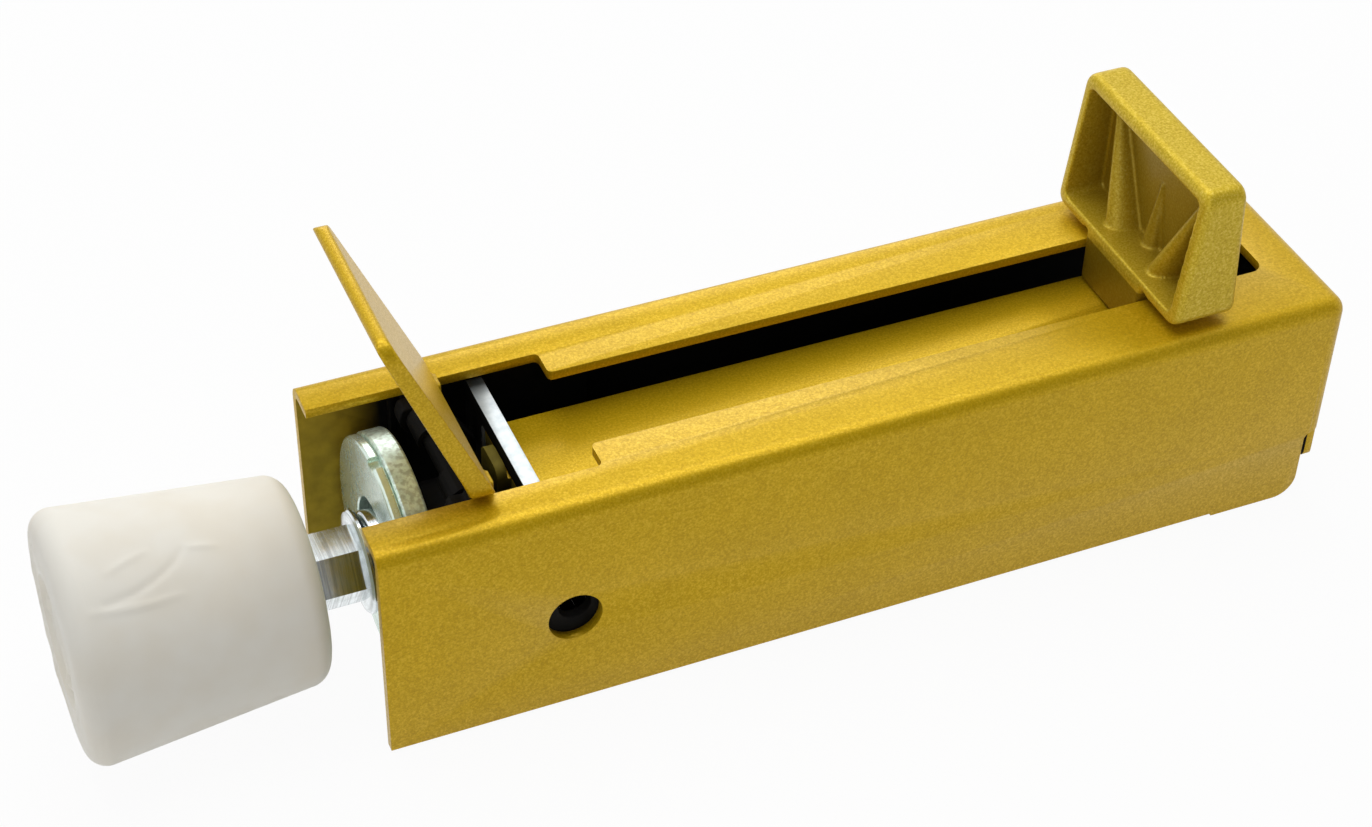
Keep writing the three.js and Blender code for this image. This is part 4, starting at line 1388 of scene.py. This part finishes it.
@dataclass
class Carriage:
    """What slides with the press pedal: the pedal, the bar, the tube, the discs and the block."""

    overhang: float = 38.1 * MM
    front_lean: float = 2.5 * MM
    back_lean: float = 1.5 * MM
    corner: float = 2.2 * MM
    edge: float = 1.2 * MM
    rim: float = 2.0 * MM
    back_wall: float = 2.2 * MM
    neck_half: float = 7.8 * MM
    notch: float = 1.6 * MM
    notch_depth: float = 1.2 * MM
    grain: float = 0.26 * MM
    ribs: tuple[Rib, ...] = (
        Rib(foot_share=-0.33, top_share=-0.79, depth=4.8 * MM, half_width=2.5 * MM, height_share=1.0),
        Rib(foot_share=0.0, top_share=0.0, depth=2.0 * MM, half_width=1.9 * MM, height_share=0.55),
        Rib(foot_share=0.33, top_share=0.79, depth=4.8 * MM, half_width=2.5 * MM, height_share=1.0),
    )
    disc_chamfer: float = 0.4 * MM
    front_bore: float = 8.74 * MM
    back_bore: float = 8.99 * MM
    seam: float = 0.28 * MM
    notch_half: float = 1.2 * MM
    notch_drop: float = 1.1 * MM
    shade_end: float = -50.4 * MM
    axis_height: float = 18.45 * MM
    neck_shade: float = 0.75
    hollow_shade: float = 0.65
    bar_edge: float = 0.3 * MM
    tube_edge: float = 0.2 * MM
    block_edge: float = 0.3 * MM

    def leaned(self, low: Vector, high: Vector) -> bmesh.types.BMesh:
        """Makes the pedal's head as a block that narrows upwards at its front and its back.

        Args:
            low: The lowest corner of the pedal's box.
            high: Its highest corner.

        Returns:
            The block.
        """
        shape = cuboid((low.x, low.y, self.overhang), high)
        for vertex in shape.verts:
            if vertex.co.z > self.overhang + self.edge:
                vertex.co.x += self.front_lean if vertex.co.x < (low.x + high.x) / 2 else -self.back_lean
        rounded_edges(shape, runs_along(Axis.X), self.corner, segments=8)
        return rounded_edges(shape, sharp(angle_degrees=50.0), self.edge, segments=5)

    def pedal(self, finishes: Finishes) -> None:
        """Casts the press pedal.

        Args:
            finishes: The finishes to choose from.
        """
        low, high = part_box("press_pedal")
        head = Workpiece("press_pedal_casting", self.leaned(low, high))
        hollow_back = high.x - self.back_lean - self.back_wall
        half = high.y - self.rim
        hollow_corners = [
            (-half, self.overhang + self.rim, self.corner / 2),
            (half, self.overhang + self.rim, self.corner / 2),
            (half, high.z - self.rim, self.corner / 2),
            (-half, high.z - self.rim, self.corner / 2),
        ]
        head.cut(pressed(hollow_corners, Axis.X, low.x - self.rim, hollow_back))
        height = high.z - self.overhang - self.rim
        for rib in self.ribs:
            head.join(rib.shape(hollow_back, self.overhang + self.rim / 2, height, high.y))
        neck_top = self.overhang + self.rim / 2
        neck = cuboid((low.x, -self.neck_half, low.z), (high.x, self.neck_half, neck_top))
        head.join(rounded_edges(neck, runs_along(Axis.Z), self.rim / 4, segments=4))
        notch_start, notch_end = low.x - self.rim, low.x + self.notch_depth
        for side in (-1, 1):
            place = (side * (self.neck_half + self.notch / 2), self.overhang)
            head.cut(round_bar(Axis.X, self.notch / 2, notch_start, notch_end, place, sides=24))
        head.cast(self.grain, passes=3)

        def shade_share(place: Vector) -> float:
            """Gives how much painted shade lies on a place, which is most deep in the hollow and on the
            neck, where shade falls.

            Args:
                place: A place on the pedal.

            Returns:
                The share of the painted shade's colour, from 0 to 1.
            """
            slack = self.grain
            if place.z < self.overhang - slack:
                return self.neck_shade
            across = abs(place.y) < half + slack
            up = self.overhang + self.rim - slack < place.z < high.z - self.rim + slack
            if not (across and up and place.x < hollow_back + slack):
                return 0.0
            lean = self.front_lean * (place.z - self.overhang) / (high.z - self.overhang)
            front = low.x + lean
            return self.hollow_shade * min(max((place.x - front) / (hollow_back - front), 0.0), 1.0)

        # Painted shade: the hollow and the neck are darkened where shade falls.
        head.mark(PAINTED_SHADE, shade_share)
        head.dress(finishes.cast_enamel, Body.CARRIAGE, Slot.CAST_GOLD, ["press_pedal"], ALL_SMOOTH)

    def front_plate(self, finishes: Finishes) -> None:
        """Turns the front disc and files the small notch into its top.

        Args:
            finishes: The finishes to choose from.
        """
        low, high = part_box("front_disc")
        radius = (high.y - low.y) / 2
        plate = Workpiece("front_plate", self.disc(low.x, high.x, radius, self.front_bore))
        top = self.axis_height + radius
        first = (low.x - MM, -self.notch_half, top - self.notch_drop)
        last = (high.x + MM, self.notch_half, top + MM)
        plate.cut(rounded_edges(cuboid(first, last), runs_along(Axis.X), self.disc_chamfer, segments=3))
        plate.dress(finishes.zinc, Body.CARRIAGE, Slot.ZINC, ["front_disc"], smooth_degrees=20.0)

    def back_plate(self, finishes: Finishes) -> None:
        """Turns the back disc, which lies against the front one.

        Args:
            finishes: The finishes to choose from.
        """
        low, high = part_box("back_disc")
        shape = self.disc(low.x - self.seam, high.x, (high.y - low.y) / 2, self.back_bore)
        plate = Workpiece("back_plate", shape)
        plate.dress(finishes.sheared_zinc, Body.CARRIAGE, Slot.ZINC, ["back_disc"], smooth_degrees=20.0)

    def disc(self, start: float, end: float, radius: float, bore: float) -> bmesh.types.BMesh:
        """Turns a disc with broken edges and a bore.

        Args:
            start: The X of its first face.
            end: The X of its last face.
            radius: Its radius.
            bore: The radius of its bore.

        Returns:
            The disc.
        """
        chamfer = self.disc_chamfer
        profile = [
            (start, bore + chamfer / 2),
            (start, radius - chamfer),
            (start + chamfer / 3, radius - chamfer / 3),
            (start + chamfer, radius),
            (end - chamfer, radius),
            (end - chamfer / 3, radius - chamfer / 3),
            (end, radius - chamfer),
            (end, bore),
            (start + chamfer / 2, bore),
        ]
        return spun(profile, (0.0, self.axis_height), steps=160)

    def build(self, finishes: Finishes) -> None:
        """Builds and dresses the carriage.

        Args:
            finishes: The finishes to choose from.
        """
        self.pedal(finishes)
        self.front_plate(finishes)
        self.back_plate(finishes)
        bar = Workpiece.copy_of("slide_bar", "slide_bar_steel")
        bar.soften(self.bar_edge, segments=3)
        made = bar.dress(finishes.enamel, Body.CARRIAGE, Slot.GOLD, ["slide_bar"])
        # Painted shade: the bar's end before the lock plate is dark olive, as it lies in the housing's
        # shade.
        second_finish(made, finishes.tab_painted_shade, lambda face: face.center.x < self.shade_end)
        tube = Workpiece.copy_of("carriage_tube", "gripped_tube")
        tube.soften(self.tube_edge, segments=2)
        tube.dress(finishes.black, Body.CARRIAGE, Slot.BLACK, ["carriage_tube"])
        block = Workpiece.copy_of("rear_block", "sliding_block")
        block.soften(self.block_edge, segments=2)
        block.dress(finishes.black, Body.CARRIAGE, Slot.BLACK, ["rear_block"])
        for node in ("pedal_rivet_front", "pedal_rivet_rear", "block_pin", "plunger_stop_pin"):
            dress_node(node, finishes.zinc)


@dataclass(frozen=True)
class FlowLine:
    """A line where the rubber met in the mould, which stands out or sinks in a little.

    Its points are the distance from the housing's foot end in millimetres and the degrees round the foot
    from its top towards the near side.
    """

    height_mm: float
    start: tuple[float, float]
    onward: tuple[tuple[float, float], ...]

    def path(self, big: float) -> list[Vector]:
        """Gives the line's points as X and the way round the foot, both in metres.

        Args:
            big: The radius at which the way round is measured.

        Returns:
            The points.
        """
        points = (self.start, *self.onward)
        return [Vector((x * MM - HALF_LENGTH, math.radians(degrees) * big)) for x, degrees in points]


@dataclass
class Foot:
    """The plunger rod, the hexagonal adaptor, the stud and the rubber foot."""

    axis_height: float = 18.45 * MM
    big_edge: float = 3.0 * MM
    small_edge: float = 3.0 * MM
    small_radius: float = 15.1 * MM
    land_inner: float = 9.5 * MM
    land_slope: float = 0.8 * MM
    land_hollow: float = 1.0 * MM
    land_step: float = 0.3 * MM
    ring_radii: tuple[float, ...] = (2.4 * MM, 4.6 * MM, 7.0 * MM, 11.4 * MM, 13.6 * MM)
    ring_width: float = 0.5 * MM
    ring_height: float = 0.8 * MM
    land_share: float = 0.35
    ring_wander: float = 0.9 * MM
    ring_drift: float = 4.0 * MM
    stud_bore: float = 3.3 * MM
    flange_bore: float = 9.3 * MM
    flange_start: float = 25.0 * MM
    flange_end: float = 21.7 * MM
    steps_round: int = 256
    steps_along: int = 84
    flow_lines: tuple[FlowLine, ...] = (
        FlowLine(
            height_mm=-0.2,
            start=(-34.2, 36.4),
            onward=(
                (-32.2, 35.2),
                (-30.1, 34.1),
                (-27.9, 31.3),
                (-25.9, 28.1),
                (-23.9, 23.6),
                (-22.3, 17.6),
            ),
        ),
        FlowLine(height_mm=0.17, start=(-33.0, 22.4), onward=((-30.1, 18.4), (-27.2, 15.5))),
        FlowLine(
            height_mm=0.19,
            start=(-36.2, 38.2),
            onward=((-33.5, 39.1), (-30.9, 39.9), (-28.6, 40.0), (-24.0, 39.3)),
        ),
        FlowLine(height_mm=0.17, start=(-22.0, 17.4), onward=((-20.4, 18.1), (-18.0, 19.8))),
    )
    line_width: float = 0.5 * MM
    line_reach: float = 3 * MM
    rod_edge: float = 0.2 * MM
    across_flats: float = 9.8 * MM
    hex_length: float = 7.2 * MM
    hex_chamfer: float = 0.6 * MM
    collar_length: float = 1.1 * MM
    collar_radius: float = 7.6 * MM
    collar_chamfer: float = 0.35 * MM
    spigot_radius: float = 3.7 * MM
    spigot_length: float = 9.0 * MM

    def section(self, start: float, end: float, big: float) -> list[tuple[float, float]]:
        """Gives the foot's section as points (x, radius) from its end face round to the stud's cavity.

        Args:
            start: The X of its end face.
            end: The X of its small end.
            big: The radius of its big end.

        Returns:
            The points.
        """
        hollow = start + self.land_hollow
        slope_start = self.land_inner - self.land_slope
        inner_steps = round(slope_start / self.land_step)
        points = [(hollow, slope_start * step / inner_steps) for step in range(inner_steps + 1)]
        land_end = big - self.big_edge
        land_steps = round((land_end - self.land_inner) / self.land_step)
        land = land_end - self.land_inner
        points += [(start, self.land_inner + land * step / land_steps) for step in range(land_steps)]
        points += quarter((start + self.big_edge, land_end), self.big_edge, 180, 90)
        first, last = start + self.big_edge, end - self.small_edge
        for step in range(1, self.steps_along):
            share = step / self.steps_along
            points.append((first + (last - first) * share, big + (self.small_radius - big) * share))
        points += quarter((last, self.small_radius - self.small_edge), self.small_edge, 90, 0)
        return points + [
            (end, self.stud_bore),
            (end - self.flange_end, self.stud_bore),
            (end - self.flange_end, self.flange_bore),
            (end - self.flange_start, self.flange_bore),
            (end - self.flange_start, 0.0),
        ]

    def rubber(self, finishes: Finishes) -> None:
        """Moulds the rubber foot round its stud, with ring marks on its end and flow lines on its side.

        Args:
            finishes: The finishes to choose from.
        """
        low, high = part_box("rubber_foot")
        big = (high.y - low.y) / 2
        points = self.section(low.x, high.x, big)
        shape = spun(points, (0.0, self.axis_height), self.steps_round, closed=False)
        self.mark_end(shape, low.x)
        for line in self.flow_lines:
            self.crease(shape, line.height_mm * MM, line.path(big), big)
        foot = Workpiece("rubber_foot_moulding", shape)
        foot.dress(finishes.rubber, Body.PLUNGER, Slot.RUBBER, ["rubber_foot"], smooth_degrees=50.0)
        dress_node("foot_stud", finishes.zinc)

    def mark_end(self, shape: bmesh.types.BMesh, start: float) -> None:
        """Raises the uneven ring marks on the foot's end face.

        Args:
            shape: The foot's mesh.
            start: The X of its end face.
        """
        centre = Vector((0.0, 0.0, self.axis_height))
        for vertex in shape.verts:
            if vertex.co.x > start + self.land_hollow + self.ring_height / 2:
                continue
            out = vertex.co - centre
            radius = math.hypot(out.y, out.z)
            drift = noise.noise(vertex.co / self.ring_drift)
            share = 1.0 if radius < self.land_inner else self.land_share
            for ring in self.ring_radii:
                gap = (radius + drift * self.ring_wander - ring) / self.ring_width
                vertex.co.x -= share * self.ring_height * math.exp(-gap * gap) * (0.6 + drift)

    def crease(self, shape: bmesh.types.BMesh, height: float, path: Sequence[Vector], big: float) -> None:
        """Raises or sinks the foot's side along a line.

        Args:
            shape: The foot's mesh.
            height: How far the line stands out, or sinks in where it is negative.
            path: The line as points of x and the way round from the top towards the near side.
            big: The radius at which that way is measured.
        """
        for vertex in shape.verts:
            up = vertex.co.z - self.axis_height
            radius = math.hypot(vertex.co.y, up)
            near = path[0].x - self.line_reach < vertex.co.x < path[-1].x + self.line_reach
            if radius < 0.8 * self.small_radius or not near:
                continue
            here = Vector((vertex.co.x, math.atan2(-vertex.co.y, up) * big))
            nearest = min(distance_to_line(here, a, b) for a, b in zip(path, path[1:]))
            along = (here.x - path[0].x) / (path[-1].x - path[0].x)
            fade = math.sin(math.pi * min(max(0.08 + 0.84 * along, 0.0), 1.0)) ** 0.5
            swell = height * fade * math.exp(-((nearest / self.line_width) ** 2))
            vertex.co.y += vertex.co.y / radius * swell
            vertex.co.z += up / radius * swell

    def adaptor(self, finishes: Finishes) -> None:
        """Machines the hexagonal adaptor with its collar and its spigot.

        Args:
            finishes: The finishes to choose from.
        """
        low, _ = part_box("hex_adaptor")
        corner = self.across_flats / 2 / math.cos(math.pi / 6)
        start = low.x
        hex_end = start + self.hex_length
        place = (0.0, self.axis_height)
        piece = Workpiece("hexagon_and_collar", round_bar(Axis.X, corner, start, hex_end, place, sides=6))
        blank = [
            (start, 0.0),
            (start, corner - self.hex_chamfer),
            (start + self.hex_chamfer, corner + self.hex_chamfer / 8),
            (hex_end, corner + self.hex_chamfer / 8),
            (hex_end, 0.0),
        ]
        piece.keep_inside(spun(blank, place, closed=False))
        collar_end = hex_end + self.collar_length
        collar = [
            (hex_end - self.collar_chamfer, 0.0),
            (hex_end - self.collar_chamfer, corner - self.collar_chamfer),
            (hex_end, self.collar_radius - self.collar_chamfer),
            (hex_end + self.collar_chamfer, self.collar_radius),
            (collar_end - self.collar_chamfer, self.collar_radius),
            (collar_end, self.collar_radius - self.collar_chamfer),
            (collar_end, self.spigot_radius),
            (collar_end + self.spigot_length, self.spigot_radius),
            (collar_end + self.spigot_length, 0.0),
        ]
        piece.join(spun(collar, place, closed=False))
        piece.dress(finishes.turned_zinc, Body.PLUNGER, Slot.ZINC, ["hex_adaptor"], smooth_degrees=12.0)

    def build(self, finishes: Finishes) -> None:
        """Builds and dresses the foot.

        Args:
            finishes: The finishes to choose from.
        """
        self.rubber(finishes)
        self.adaptor(finishes)
        rod = Workpiece.copy_of("plunger_rod", "plunger_rod_steel")
        rod.soften(self.rod_edge, segments=2)
        rod.dress(finishes.turned_zinc, Body.PLUNGER, Slot.ZINC, ["plunger_rod"], smooth_degrees=30.0)


@dataclass
class ReleaseGear:
    """The release pedal, its sleeves and the lock plate that its fingers push."""

    grain: float = 0.28 * MM
    edge: float = 0.18 * MM
    shaded_below: float = 36.6 * MM
    shaded_face_share: float = 0.9

    def build(self, finishes: Finishes) -> None:
        """Builds and dresses the release gear.

        Args:
            finishes: The finishes to choose from.
        """
        pedal = Workpiece.copy_of("release_pedal", "release_pedal_casting")
        pedal.cast(self.grain, passes=2)
        made = pedal.dress(finishes.enamel, Body.RELEASE, Slot.GOLD, ["release_pedal"], ALL_SMOOTH)
        # Painted shade: the casting below the housing's face is black, where it lies in the housing's
        # shade.
        second_finish(made, finishes.black, lambda face: face.center.z < self.shaded_below)
        for node in ("pin_sleeve_near", "pin_sleeve_far"):
            dress_node(node, finishes.black)
        plate = Workpiece.copy_of("lock_plate", "gripping_plate")
        plate.soften(self.edge, segments=2)
        made = plate.dress(finishes.bright_zinc, Body.LOCK, Slot.ZINC, ["lock_plate"], smooth_degrees=35.0)
        # Painted shade: the plate's broad faces are black, as they lie in shade; only its edges show zinc.
        second_finish(made, finishes.black, lambda face: abs(face.normal.x) > self.shaded_face_share)


@dataclass(frozen=True)
class SoftBox:
    """A square soft lamp: its place, what it points at, its side and its power."""

    name: str
    place: tuple[float, float, float]
    aim: tuple[float, float, float]
    size: float
    watts: float

    def hang(self) -> None:
        """Hangs the lamp."""
        data = bpy.data.lights.new(self.name, "AREA")
        data.shape = "SQUARE"
        data.size = self.size
        data.energy = self.watts
        holder = bpy.data.objects.new(self.name, data)
        direction = Vector(self.aim) - Vector(self.place)
        holder.rotation_euler = direction.to_track_quat("-Z", "Y").to_euler()
        holder.location = self.place
        bpy.context.scene.collection.objects.link(holder)


@dataclass
class Studio:
    """The floor, the light and the camera."""

    lens_mm: float = 70.9
    sensor_mm: float = 36.0
    place: tuple[float, float, float] = (-141.0 * MM, -267.81 * MM, 281.16 * MM)
    right: tuple[float, float, float] = (0.92165, -0.38753, 0.01966)
    forward: tuple[float, float, float] = (0.30601, 0.69474, -0.65092)
    floor_size: float = 3.0
    floor_gap: float = 0.2 * MM
    diffuse_light: float = 0.37
    card_light: float = 0.2
    card: tuple[float, float, float] = (0.1, -0.72, 0.68)
    card_edge: float = 0.62
    card_middle: float = 0.9
    boxes: tuple[SoftBox, ...] = (
        SoftBox("overhead", place=(0.0, 0.15, 0.75), aim=(0.0, 0.0, 0.03), size=0.7, watts=3.4),
        SoftBox("front", place=(-0.5, -0.7, 0.5), aim=(0.0, 0.0, 0.02), size=0.6, watts=0.9),
        SoftBox("behind", place=(0.2, 0.8, 0.4), aim=(0.0, 0.0, 0.03), size=0.4, watts=1.2),
    )

    def camera(self) -> None:
        """Puts the camera at the photo's angle."""
        data = bpy.data.cameras.new("camera")
        data.lens = self.lens_mm
        data.sensor_width = self.sensor_mm
        data.sensor_fit = "HORIZONTAL"
        data.clip_start = 0.01
        holder = bpy.data.objects.new("camera", data)
        right = Vector(self.right).normalized()
        back = -Vector(self.forward).normalized()
        up = back.cross(right).normalized()
        turn = Matrix((right, up, back)).transposed().to_4x4()
        holder.matrix_world = Matrix.Translation(self.place) @ turn
        bpy.context.scene.collection.objects.link(holder)
        bpy.context.scene.camera = holder

    def floor(self) -> None:
        """Lays the pale floor."""
        shape = bmesh.new()
        bmesh.ops.create_grid(shape, x_segments=1, y_segments=1, size=self.floor_size)
        bmesh.ops.translate(shape, vec=(0, 0, -self.floor_gap), verts=shape.verts)
        paper = Workpiece("floor", shape)
        paper.object.data.materials.append(StudioSurface("white_paper").build())

    def world(self) -> None:
        """Makes white surroundings with a darker card on the near side, which deepens the folds' gloss."""
        world = bpy.data.worlds.new("studio")
        world.use_nodes = True
        bpy.context.scene.world = world
        tree = world.node_tree
        tree.nodes.clear()
        way = add_node(tree, "ShaderNodeTexCoord").outputs["Generated"]
        inputs = {0: way, 1: tuple(Vector(self.card).normalized())}
        toward = add_node(tree, "ShaderNodeVectorMath", inputs, {"operation": "DOT_PRODUCT"})
        inputs = {"Value": toward.outputs["Value"], "To Min": 1.0, "To Max": self.card_light}
        inputs |= {"From Min": self.card_edge, "From Max": self.card_middle}
        dim = add_node(tree, "ShaderNodeMapRange", inputs)
        path = add_node(tree, "ShaderNodeLightPath").outputs
        inputs = {"Value": path["Is Glossy Ray"], "To Min": self.diffuse_light, "To Max": 1.0}
        level = add_node(tree, "ShaderNodeMapRange", inputs)
        inputs = {0: level.outputs[0], 1: dim.outputs[0]}
        lit = add_node(tree, "ShaderNodeMath", inputs, {"operation": "MULTIPLY"})
        inputs = {0: path["Is Camera Ray"], 1: path["Is Transmission Ray"]}
        seen = add_node(tree, "ShaderNodeMath", inputs, {"operation": "MAXIMUM"})
        inputs = {"Value": seen.outputs[0], "To Min": lit.outputs[0], "To Max": 1.0}
        strength = add_node(tree, "ShaderNodeMapRange", inputs)
        inputs = {"Color": linear(WHITE_HEX), "Strength": strength.outputs["Result"]}
        background = add_node(tree, "ShaderNodeBackground", inputs)
        add_node(tree, "ShaderNodeOutputWorld", {"Surface": background.outputs[0]})

    def build(self) -> None:
        """Sets up the studio."""
        self.camera()
        self.floor()
        self.world()
        for box in self.boxes:
            box.hang()
        bpy.context.scene.view_settings.view_transform = "Standard"


def main() -> None:
    """Builds the studio and each sub-assembly in order."""
    logging.basicConfig(level=logging.INFO, format="%(message)s")
    Studio().build()
    finishes = Finishes()
    for assembly in (Housing(), Inside(), Carriage(), Foot(), ReleaseGear()):
        LOG.info("building %s", type(assembly).__name__)
        assembly.build(finishes)


if __name__ == "__main__":
    main()
